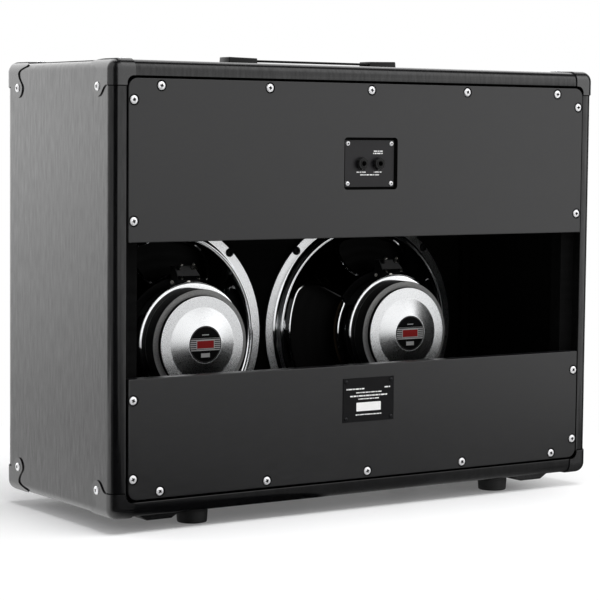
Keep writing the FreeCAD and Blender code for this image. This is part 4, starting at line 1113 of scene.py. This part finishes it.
class CABINET_OT_feet(bpy.types.Operator):
    """Rubber feet and the low skids beside the rear ones"""
    bl_idname = "cabinet.feet"
    bl_label = "Feet and skids"

    def execute(self, context):
        outline = soften([(2.2, 19.0), (20.0, 19.0, 0.6), (19.7, 15.5, 0.5), (19.0, 14.8, 0.5),
                          (19.5, 14.0, 0.5),
                          (18.5, 0.0, 1.6), (8.2, 0.0, 0.8), (7.0, 12.0, 0.3), (2.2, 12.0)])
        places = [((sx * FOOT_X, sy * FOOT_Y, 0.0), (0.0, 0.0, 1.0)) for sx, sy in QUADRANTS]
        feet = repeated("rubber_foot_set", turned_up("foot", outline), places, "black_foot_rubber")
        finished(feet, [], ["rubber_feet"], 0)
        skids = make_object("rear_skid_pair", bevelled(node_copy("rear_skids"), 1.2))
        finished(skids, ["moulded_corner_plastic"], ["rear_skids"], 0)
        return {"FINISHED"}


class CABINET_OT_handle(bpy.types.Operator):
    """Strap handle with its end caps"""
    bl_idname = "cabinet.handle"
    bl_label = "Strap handle"

    def execute(self, context):
        for side, sign in SIDES:
            piece = make_object(side + "_cap_cover", self.cap(sign))
            finished(piece, ["black_jack_plastic"], [side + "_handle_cap"], 0)
        middle = make_object("strap_middle", self.strap(-STRAP_SPLIT, STRAP_SPLIT))
        finished(middle, ["moulded_strap_vinyl"], ["handle_grip"], 40.0, "handle_strap")
        for side, sign in SIDES:
            run = sorted((sign * STRAP_SPLIT, sign * STRAP_TIP))
            bending(make_object("strap_" + side, self.strap(*run)), "moulded_strap_vinyl",
                    "handle_strap_ends",
                    40.0)
        return {"FINISHED"}

    def cap(self, sign):
        """One cap: drafted sides, a rounded top that drops to the strap, and the slot for the strap."""
        half = (CAP_HIGH.x - CAP_LOW.x) / 2
        wide = (CAP_HIGH.y - CAP_LOW.y) / 2
        centre = sign * (CAP_HIGH.x + CAP_LOW.x) / 2
        drop = 0.8
        bm = bmesh.new()
        levels = []
        for level, dx, dy in ((CAP_LOW.z, 0.0, 0.0), (CAP_HIGH.z, 0.8, 0.2)):
            levels.append([bm.verts.new(((centre + u * (half - dx)) * MM, v * (wide - dy) * MM,
                                         (level - (drop if dx and u == -sign else 0.0)) * MM))
                           for u, v in ((-1, -1), (1, -1), (1, 1), (-1, 1))])
        close_levels(bm, *levels)
        corners = [edge for edge in bm.edges if abs(edge.verts[0].co.z - edge.verts[1].co.z) > 1e-4]
        bmesh.ops.bevel(bm, geom=corners, offset=1.6 * MM, segments=4, profile=0.5, affect="EDGES")
        rim = [edge for edge in bm.edges if all(vert.co.z > (CAP_HIGH.z - 0.9) * MM for vert in edge.verts)]
        bmesh.ops.bevel(bm, geom=rim, offset=0.9 * MM, segments=4, profile=0.5, affect="EDGES")
        body = to_mesh("cap", bm)
        bm = bmesh.new()
        outline = rounded_rectangle(STRAP_HIGH.y - STRAP_LOW.y + 0.8, STRAP_HIGH.z - STRAP_LOW.z + 0.8, 1.2)
        middle = (STRAP_HIGH.z + STRAP_LOW.z) / 2
        prism(bm, outline, centre - sign * (half + 1.0), centre + sign * 14.0,
              lambda u, v, d: (d * MM, u * MM, (middle + v) * MM))
        return bevelled(cut_with(body, to_mesh("slot", bm)), 0.35, 2, 50.0)

    def strap(self, start, end):
        """A run of the strap: rounded edges and three shallow grooves along its top and underside."""
        half = (STRAP_HIGH.y - STRAP_LOW.y) / 2
        low, high = STRAP_LOW.z, STRAP_HIGH.z
        middle, rise = (low + high) / 2, (high - low) / 2
        count = 44
        top = []
        for index in range(count + 1):
            y = -half + 1.0 + (2 * half - 2.0) * index / count
            groove = max(math.exp(-((y - g) / 0.55) ** 2) for g in (-0.66 * half, 0.0, 0.66 * half))
            top.append((y, groove * 0.32))

        def edge(side, first):
            """The round edge on one side, from an angle on."""
            angles = [math.radians(first - 36 * step) for step in range(1, 5)]
            return [(side * (half - 1.0) + math.cos(a), middle + rise * math.sin(a)) for a in angles]

        section = ([(y, high - dip) for y, dip in top] + edge(1, 90)
                   + [(y, low + dip) for y, dip in reversed(top)] + edge(-1, 270))
        bm = bmesh.new()
        loops = []
        steps = max(2, int(abs(end - start) / 2.0))
        for index in range(steps + 1):
            x = start + (end - start) * index / steps
            thin = 0.40 if abs(x) > CAP_LOW.x + 0.5 else 1.0
            loops.append([bm.verts.new((x * MM, y * MM, (middle + (z - middle) * thin) * MM)) for y,
                          z in section])
        skin(bm, loops)
        bm.faces.new(loops[0])
        bm.faces.new(loops[-1][::-1])
        return to_mesh("strap", bm)


class CABINET_OT_speakers(bpy.types.Operator):
    """Frames, motors and moving cones of both speakers"""
    bl_idname = "cabinet.speakers"
    bl_label = "Speakers"

    def execute(self, context):
        for side, sign in SIDES:
            x = sign * SPEAKER_X
            for make in (self.basket, self.motor, self.moving, self.soft, self.terminals):
                make(side, x)
        return {"FINISHED"}

    def away(self, face, x):
        """Distance of a face from a speaker's axis, in millimetres."""
        return math.hypot(face.center.x / MM - x, face.center.z / MM - SPEAKER_Z)

    def window(self, index, grow=0.0):
        """Outline of one window as (radius, angle) points with rounded corners."""
        middle = math.radians(90 * index)
        foot, half = ((77.04, math.radians(34.7)), (86.04, math.radians(30.0)))[index % 2]
        high, low = 129.5 + grow, foot - grow
        points = []
        for radius, sign_r, sign_a, first in ((high, 1, 1, 0), (high, 1, -1, 90), (low, -1, -1, 180),
                                              (low, -1, 1, 270)):
            corner = (26.0 if sign_r == 1 else 9.0) + grow
            span = corner / radius
            reach = half + grow / radius - span
            for step in range(7):
                angle = math.radians(first + 90 * step / 6)
                points.append((radius - sign_r * corner + corner * math.sin(angle),
                               middle + sign_a * reach + span * math.cos(angle)))
            if sign_a == sign_r:
                count = 18 if sign_r == 1 else 14
                for step in range(1, count):
                    points.append((radius, middle + sign_r * (1 - 2 * step / count) * reach))
        return points

    def basket(self, side, x):
        """The pressed frame with rolled window edges and slots in its flange."""
        rear = FLANGE_REAR
        outline = profile(
            rear, (158.0, 0.0, 0.5), (141.8, 0.0, 4.4), (140.6, 11.4, 1.3), (138.0, 11.6, 1.3),
            (136.8, 10.0, 0.5),
            (134.5, 12.86, 0.8), (82.0, 52.0, 0.8), (71.57, 52.0, 1.0), (71.57, 78.0, 0.5), (27.0, 78.0),
            (27.0, 76.5), (70.07, 76.5, 0.8), (70.07, 50.5, 1.0), (81.3, 50.5, 1.0), (136.25, 9.5, 1.5),
            (139.5, 8.0, 1.2), (140.5, -1.5, 0.6), (158.0, -1.5, 0.4))
        body = bmesh.new()
        turn(body, outline, x, SPEAKER_Z, 144)
        bm = bmesh.new()
        slot = [(3.2 * math.cos(t), 3.2 * math.sin(t)) for t in
                (math.radians(90 + 180 * s / 10) for s in range(11))] + [(12.0, -3.2), (12.0, 3.2)]
        for index, vent in enumerate((10.4, 169.6, 190.4, 349.6)):
            points = [(r * math.cos(a), r * math.sin(a)) for r, a in self.window(index)]
            prism(bm, points, rear + 2.0, rear + 70.0, on_rear(x, SPEAKER_Z))
            c, s = math.cos(math.radians(45 + 90 * index)), math.sin(math.radians(45 + 90 * index))
            points = [((SCREW_CIRCLE + u) * c - v * s, (SCREW_CIRCLE + u) * s + v * c) for u, v in slot]
            prism(bm, points, rear - 4.0, rear + 4.0, on_rear(x, SPEAKER_Z))
            out = Vector((math.cos(math.radians(vent)), 0, math.sin(math.radians(vent))))
            tangent = Vector((-out.z, 0, out.x))
            centre = Vector((x, rear + 65.0, SPEAKER_Z)) + out * 66.0
            prism(bm, circle(1.6, 20), 0.0, 12.0,
                  lambda u, v, d: (centre + out * d + tangent * u + Vector((0, v, 0))) * MM)
        mesh = cut_with(to_mesh("frame", body), to_mesh("openings", bm))
        bm = bmesh.new()
        bm.from_mesh(mesh)
        bpy.data.meshes.remove(mesh)
        self.rolled_edges(bm, x)
        piece = make_object(side + "_basket", to_mesh(side + "_basket", bm, weld=0, turn=False))
        finished(piece, ["bright_plated_frame", "frosted_zinc_plate", "matt_black_plate"],
                 [side + "_speaker_frame"])
        for face in piece.data.polygons:
            away, depth = self.away(face, x), face.center.y / MM - rear
            if away > 146.0 and depth < 1.0:
                face.material_index = 1
            # The ledge round the neck takes the matt black finish: painted shade where the plated frame would
            # mirror light
            elif away < 84.0 and abs(depth - 51.0) < 3.0:
                face.material_index = 2

    def rolled_edges(self, bm, x):
        """A small bead round each window, as a pressed edge has, on the slope of the dish."""
        bead = 1.9
        for index in range(4):
            path = [Vector((x + radius * math.cos(angle),
                            FLANGE_REAR + 11.0 + (137.0 - radius) * 41.0 / 54.96 - 0.5,
                            SPEAKER_Z + radius * math.sin(angle))) for radius,
                    angle in self.window(index, 0.2)]
            loops = []
            for spot, here in enumerate(path):
                ahead = (path[(spot + 1) % len(path)] - path[spot - 1]).normalized()
                side = ahead.cross(Vector((0, 1, 0))).normalized()
                lift = side.cross(ahead)
                loops.append([bm.verts.new((here + side * u + lift * v) * MM) for u, v in circle(bead, 8)])
            bmesh.ops.recalc_face_normals(bm, faces=skin(bm, loops, True))

    def motor(self, side, x):
        """Top plate, ferrite ring, yoke with its boss, and the plain label."""
        roll = [(74.0 + 10.5 * math.sin(math.radians(a)), NECK + 7.0 - 10.5 * (1 - math.cos(math.radians(a))))
                for a in (20, 16, 12, 8, 4, 0)]
        plate = profile(NECK, (24.2, 0.0, 0.3), (76.9, 0.0, 0.4), (78.02, 1.0, 0.5), (78.02, 6.0, 0.3))
        plate += roll + [(70.0, NECK + 7.0), (24.2, NECK + 7.0)]
        ring = profile(NECK, (32.0, 7.0, 0.5), (69.99, 7.0, 1.0), (69.99, 26.5, 1.3), (32.0, 26.5, 0.5))
        yoke = profile(NECK, (0.0, 0.0), (21.4, 0.0, 0.5), (21.4, 26.5), (61.95, 26.5, 0.4),
                       (61.95, 32.5, 0.9),
                       (47.0, 32.5, 1.6), (24.41, 39.5, 1.4), (0.0, 39.5), closed=False)
        radius = sizes().label_radius / MM
        label = profile(NECK + 39.5, (0.0, 0.02), (radius, 0.02), (radius, 0.28, 0.12), (0.0, 0.28),
                        closed=False)
        for name, outline, closed, finish_name, slot, node in (
                ("top_plate_ring", plate, True, "bright_plated_frame", "bright_steel", "top_plate"),
                ("ferrite_ring", ring, True, "matt_ferrite", "ferrite", "magnet"),
                ("back_plate_yoke", yoke, False, "frosted_zinc_plate", "bright_steel", "yoke"),
                ("magnet_label", label, False, "plain_round_label", "black_plate", None)):
            piece = speaker_ring(side + "_" + name, outline, x, 128, closed)
            finished(piece, [finish_name], [side + "_" + node] if node else [], 45.0)
            # The outer walls of the ferrite ring and the yoke take a near-black finish: painted shade beside
            # their lit rear faces; on the ferrite it is partly also its darker unground side
            if node in ("magnet", "yoke"):
                piece.data.materials.append(finish("black_ferrite_wall"))
                for face in piece.data.polygons:
                    wall = self.away(face, x) > 60.5 and abs(face.normal.y) < 0.8
                    face.material_index = 1 if wall else 0

    def sheet(self, top, thick):
        """The closed outline of a thin sheet under a line of (radius, depth) points."""
        return top + [(radius, depth - thick) for radius, depth in reversed(top)]

    def moving(self, side, x):
        """The ribbed paper cone and its dust cap."""
        back = []
        for step in range(41):
            share = step / 40
            fade = max(0.0, min(1.0, (share - 0.42) * 6, (0.93 - share) * 10))
            rib = 0.35 * math.sin(share * math.pi * 2 * 7) * fade
            back.append((22.75 + share * (126.0 - 22.75), CONE_APEX + share * (CONE_RIM - CONE_APEX) + rib))
        cone = speaker_ring(side + "_paper_cone", self.sheet(back, 0.9), x)
        width, rise = 40.02, 9.0
        seat = CONE_APEX + (width - 22.7) / (126.0 - 22.7) * (CONE_RIM - CONE_APEX) - 0.95
        ball = (width ** 2 + rise ** 2) / (2 * rise)
        dome = []
        for step in range(13):
            angle = math.asin(width / ball) * (1 - step / 12)
            dome.append((ball * math.sin(angle), seat - rise + ball * (1 - math.cos(angle))))
        inner = [(radius * 0.98, depth + 0.8) for radius, depth in reversed(dome)]
        cap = speaker_ring(side + "_dust_dome", dome + inner[:-1] + [(39.2, seat)], x, 72)
        for piece, node in ((cone, "_cone"), (cap, "_dust_cap")):
            finished(piece, ["doped_cone_paper"], [side + node], 45.0, side + "_cone_body")

    def soft(self, side, x):
        """The rolled surround and the corrugated spider, which bend between the frame and the cone."""
        seat = FLANGE_REAR - 1.5
        surround = [(126.05, CONE_RIM), (127.2, CONE_RIM - 0.6), (128.2, seat + 1.0)]
        for step in range(17):
            share = step / 16
            surround.append((128.6 + share * 11.2, seat - 0.2 - 1.5 * math.sin(share * math.pi * 2) ** 2))
        surround += [(140.4, seat - 0.05), (145.4, seat - 0.05)]
        ledge = FLANGE_REAR + 50.5
        spider = []
        for step in range(61):
            share = step / 60
            wave = 1.1 * math.sin(share * math.pi * 2 * 5) * min(1.0, share * 8, (1 - share) * 8)
            spider.append((22.8 + share * 46.5, ledge - 3.0 * (1 - share) ** 2 - 0.1 + wave))
        spider += [(70.0, ledge - 0.1), (80.3, ledge - 0.1)]
        for name, top, finish_name, slot, node, start, end in (
                ("_rolled_surround", surround, "doped_cone_paper", "cone_paper", "_surround",
                 seat + 0.1, CONE_RIM - 0.1),
                ("_corrugated_spider", spider, "yellow_spider_cloth", "spider_cloth", "_spider",
                 ledge - 1.6, ledge - 3.0)):
            bending(speaker_ring(side + name, self.sheet(top, 0.7), x), finish_name,
                    side + node, 50.0)

    def terminals(self, side, x):
        """The leaning terminal board above the neck with its foot, bent tags and rivets."""
        tilt = math.radians(45.0)
        root = Vector((x, FLANGE_REAR + 80.5, SPEAKER_Z + 80.52))
        up = Vector((0.0, -math.sin(tilt), math.cos(tilt)))
        out = Vector((0.0, math.cos(tilt), math.sin(tilt)))
        front = FLANGE_REAR + 52.0
        tag_up, rivet_x = 20.0, 12.5

        def leaning(u, v, w):
            """A place on the board: across, up along it and out of it."""
            return (root + Vector((u, 0.0, 0.0)) + up * v + out * w) * MM

        leg = soften([(0.0, -7.97), (0.0, 16.97, 0.4), (11.5, 16.97), (11.5, 15.4), (1.6, 15.4, 0.4),
                      (1.6, -7.97)])
        strip, board = bmesh.new(), bmesh.new()
        prism(strip, leg, -14.0, 14.0, lambda u, v, d: ((x + d) * MM, (front + u) * MM, (root.z + v) * MM))
        for name, bm, (wide, start), (narrow, end), finish_name in (
                ("terminal_strip", strip, (18.0, 0.0), (16.8, 7.0), "matt_black_plate"),
                ("terminal_board", board, (16.75, 7.1), (14.0, 24.0), "dark_fibre_board")):
            outline = soften([(-wide, start, 0.6), (wide, start, 0.6), (narrow, end, 1.2),
                              (-narrow, end, 1.2)])
            prism(bm, outline, -1.6, 0.0, leaning)
            piece = make_object(side + "_" + name, bevelled(to_mesh(name, bm), 0.25, 2))
            finished(piece, [finish_name], ["terminal_boards"], 0)
        tags, holes, pads, rivets = (bmesh.new() for kind in range(4))
        blade, hole, head = rounded_rectangle(9.0, 4.8, 1.6), circle(1.1, 16), rounded_rectangle(5.2, 5.2,
                                                                                                 2.55, 6)
        for sign in (-1, 1):
            near = sign * 9.2
            prism(tags, blade, 0.0, 0.8, lambda u, v, d: leaning(sign * 13.7 + u, tag_up + v, d))
            prism(tags, blade, near, near + sign * 0.8, lambda u, v, d: leaning(d, tag_up + v, 4.5 + u))
            prism(holes, hole, -1.0, 2.0, lambda u, v, d: leaning(sign * 15.8 + u, tag_up + v, d))
            prism(holes, hole, near - 2.0, near + 2.0, lambda u, v, d: leaning(d, tag_up + v, 6.8 + u))
            prism(pads, rounded_rectangle(6.0, 6.4, 1.0), -0.1, 0.35,
                  lambda u, v, d: leaning(sign * 11.2 + u, tag_up + v, d))
            prism(rivets, head, 0.0, 0.8, lambda u, v, d: leaning(sign * rivet_x + u, 3.5 + v, d))
            prism(rivets, head, 1.6, 2.4, lambda u, v, d: (
                (x + sign * rivet_x + u) * MM, (front + d) * MM, (root.z - 4.47 + v) * MM))
        blades = bevelled(cut_with(to_mesh("tags", tags), to_mesh("tag_holes", holes)), 0.15, 2)
        finished(make_object(side + "_terminal_tags", blades), ["tinned_tag_brass"],
                 ["terminal_tags"], 0)
        finished(make_object(side + "_tag_pads", to_mesh("pads", pads)), ["matt_black_plate"])
        finished(make_object(side + "_terminal_rivets", bevelled(to_mesh("rivets", rivets), 0.3)),
                 ["tinned_tag_brass"], ["terminal_tags"], 0)


class CABINET_OT_plates(bpy.types.Operator):
    """Jack nuts and mouths, and the plain printed marks on the two plates"""
    bl_idname = "cabinet.plates"
    bl_label = "Jack and data plates"

    def execute(self, context):
        places = [((sign * JACK_X, JACK_HIGH.y, JACK_Z), REAR) for side, sign in SIDES]
        nuts = repeated("jack_nut_pair", self.nut(), places, "black_jack_plastic")
        finished(nuts, [], ["jack_nuts"], 0)
        mouth = profile(JACK_HIGH.y + 6.4, (3.3, -3.0), (4.83, -3.0), (4.83, 0.25, 0.7), (3.3, 0.25, 0.6))
        bm = bmesh.new()
        for side, sign in SIDES:
            turn(bm, mouth, sign * JACK_X, JACK_Z, 48)
        mouths = make_object("jack_mouth_pair", to_mesh("jack_mouths", bm))
        finished(mouths, ["black_jack_plastic"], angle=40.0)
        for node, finish_name in (("jack_plate", "satin_plate_enamel"), ("data_plate", "matt_black_plate")):
            face = make_object(node + "_face", bevelled(node_copy(node), 0.35, 2))
            finished(face, [finish_name], [node], 0)
        self.marks("jack_plate_marks", JACK_HIGH.y, JACK_Z, (
            (-JACK_X, 15.6, 15.0, 1.5), (-JACK_X, 12.8, 15.0, 1.5), (JACK_X, -10.8, 14.0, 1.5),
            (-JACK_X, -10.8, 12.0, 1.5), (0.0, -14.2, 30.0, 1.5)))
        z = (DATA_LOW.z + DATA_HIGH.z) / 2
        self.marks("data_plate_marks", DATA_HIGH.y, z, (
            (21.0, 14.0, 28.0, 1.6), (-29.0, 14.5, 9.0, 1.6), (0.0, 9.2, 40.0, 1.3), (0.0, 5.0, 58.0, 1.7),
            (0.0, 1.0, 32.0, 1.3), (0.0, -19.0, 40.0, 1.3)))
        bm = bmesh.new()
        prism(bm, rounded_rectangle(38.0, 11.0, 0.8), DATA_HIGH.y + 0.01, DATA_HIGH.y + 0.12,
              on_rear(0.0, z - 9.0))
        finished(make_object("blank_sticker", to_mesh("sticker", bm)), ["blank_sticker_paper"])
        return {"FINISHED"}

    def nut(self):
        """A hexagon nut along +Z with chamfered corners and a bore."""
        flat, bore, height, segments = 7.1, 4.95, 6.0, 48
        bm = bmesh.new()
        rows = [[] for kind in range(5)]
        for index in range(segments):
            angle = 2 * math.pi * index / segments
            away = flat / math.cos((angle + math.pi / 6) % (math.pi / 3) - math.pi / 6)
            section = ((bore, 0.0), (away, 0.0), (away, height - 0.3 - (away - flat) * 0.6),
                       (min(away, flat) * 0.97, height), (bore, height))
            for row, (radius, level) in zip(rows, section):
                row.append(bm.verts.new((radius * math.cos(angle) * MM, radius * math.sin(angle) * MM,
                                         level * MM)))
        skin(bm, rows, True)
        mesh = to_mesh("nut", bm)
        smooth(mesh, 28.0)
        return mesh

    def marks(self, name, depth, level, bars):
        """Rows of plain printed dashes on a plate, as (x, height, width, thickness)."""
        dashes, gap = (4.2, 2.4, 5.6, 3.1, 6.4, 2.0, 4.8), 0.8
        bm = bmesh.new()
        for row, (x, rise, width, thick) in enumerate(bars):
            start, index = -width / 2, row
            while start < width / 2 - gap:
                length = min(dashes[index % len(dashes)], width / 2 - start)
                prism(bm, rounded_rectangle(length, thick, thick * 0.3, 3), depth + 0.01, depth + 0.05,
                      on_rear(x + start + length / 2, level + rise))
                start += length + gap
                index += 1
        finished(make_object(name, to_mesh(name, bm)), ["pale_print_ink"])


class CABINET_OT_grille(bpy.types.Operator):
    """Grille cloth stretched over its frame"""
    bl_idname = "cabinet.grille"
    bl_label = "Grille cloth"

    def execute(self, context):
        low, high = CLOTH_LOW, CLOTH_HIGH
        thick, wrap, ease = 0.5, 7.0, 0.3
        front = low.y + 0.45
        middle = (low + high) / 2
        bm = bmesh.new()
        loops = []
        for inset, deep in ((0.0, wrap), (0.0, 0.8), (0.2, 0.25), (0.8, 0.0), (3.0, 0.0)):
            outline = rounded_rectangle(high.x - low.x + 2 * (ease - inset),
                                        high.z - low.z + 2 * (ease - inset),
                                        max(0.6, 1.6 - inset), 4)
            loops.append([bm.verts.new(((middle.x + u) * MM, (front + deep) * MM, (middle.z + v) * MM))
                          for u, v in outline])
        skin(bm, loops)
        bm.faces.new(loops[-1])
        mesh = modified(to_mesh("grille_cloth_sheet", bm), "SOLIDIFY", thickness=thick * MM, offset=-1.0)
        cloth = make_object("grille_cloth_sheet", mesh)
        finished(cloth, ["woven_grille_cloth"], ["grille_cloth"], 40.0)
        return {"FINISHED"}


class CABINET_PT_panel(bpy.types.Panel):
    """Lists the steps that dress the cabinet"""
    bl_idname = "CABINET_PT_panel"
    bl_label = "Speaker cabinet"
    bl_space_type = "VIEW_3D"
    bl_region_type = "UI"
    bl_category = "Cabinet"

    def draw(self, context):
        layout = self.layout
        for step in STEPS:
            layout.operator(step.bl_idname)
        for pointer in POINTERS:
            group = getattr(context.scene, pointer)
            box = layout.box()
            for name in group.__annotations__:
                box.prop(group, name)


STEPS = (CABINET_OT_stage, CABINET_OT_carcass, CABINET_OT_fasteners, CABINET_OT_corners, CABINET_OT_feet,
         CABINET_OT_handle, CABINET_OT_speakers, CABINET_OT_plates, CABINET_OT_grille)
POINTERS = {"cabinet_sizes": CabinetSizes, "cabinet_colours": CabinetColours, "cabinet_stage": CabinetStage}


def register():
    for pointer, group in POINTERS.items():
        bpy.utils.register_class(group)
        setattr(bpy.types.Scene, pointer, bpy.props.PointerProperty(type=group))
    for step in STEPS:
        bpy.utils.register_class(step)
    bpy.utils.register_class(CABINET_PT_panel)


def unregister():
    bpy.utils.unregister_class(CABINET_PT_panel)
    for step in reversed(STEPS):
        bpy.utils.unregister_class(step)
    for pointer, group in reversed(POINTERS.items()):
        delattr(bpy.types.Scene, pointer)
        bpy.utils.unregister_class(group)


def main():
    register()
    bpy.ops.cabinet.stage()
    bpy.ops.cabinet.carcass()
    bpy.ops.cabinet.fasteners()
    bpy.ops.cabinet.corners()
    bpy.ops.cabinet.feet()
    bpy.ops.cabinet.handle()
    bpy.ops.cabinet.speakers()
    bpy.ops.cabinet.plates()
    bpy.ops.cabinet.grille()


if __name__ == "__main__":
    main()
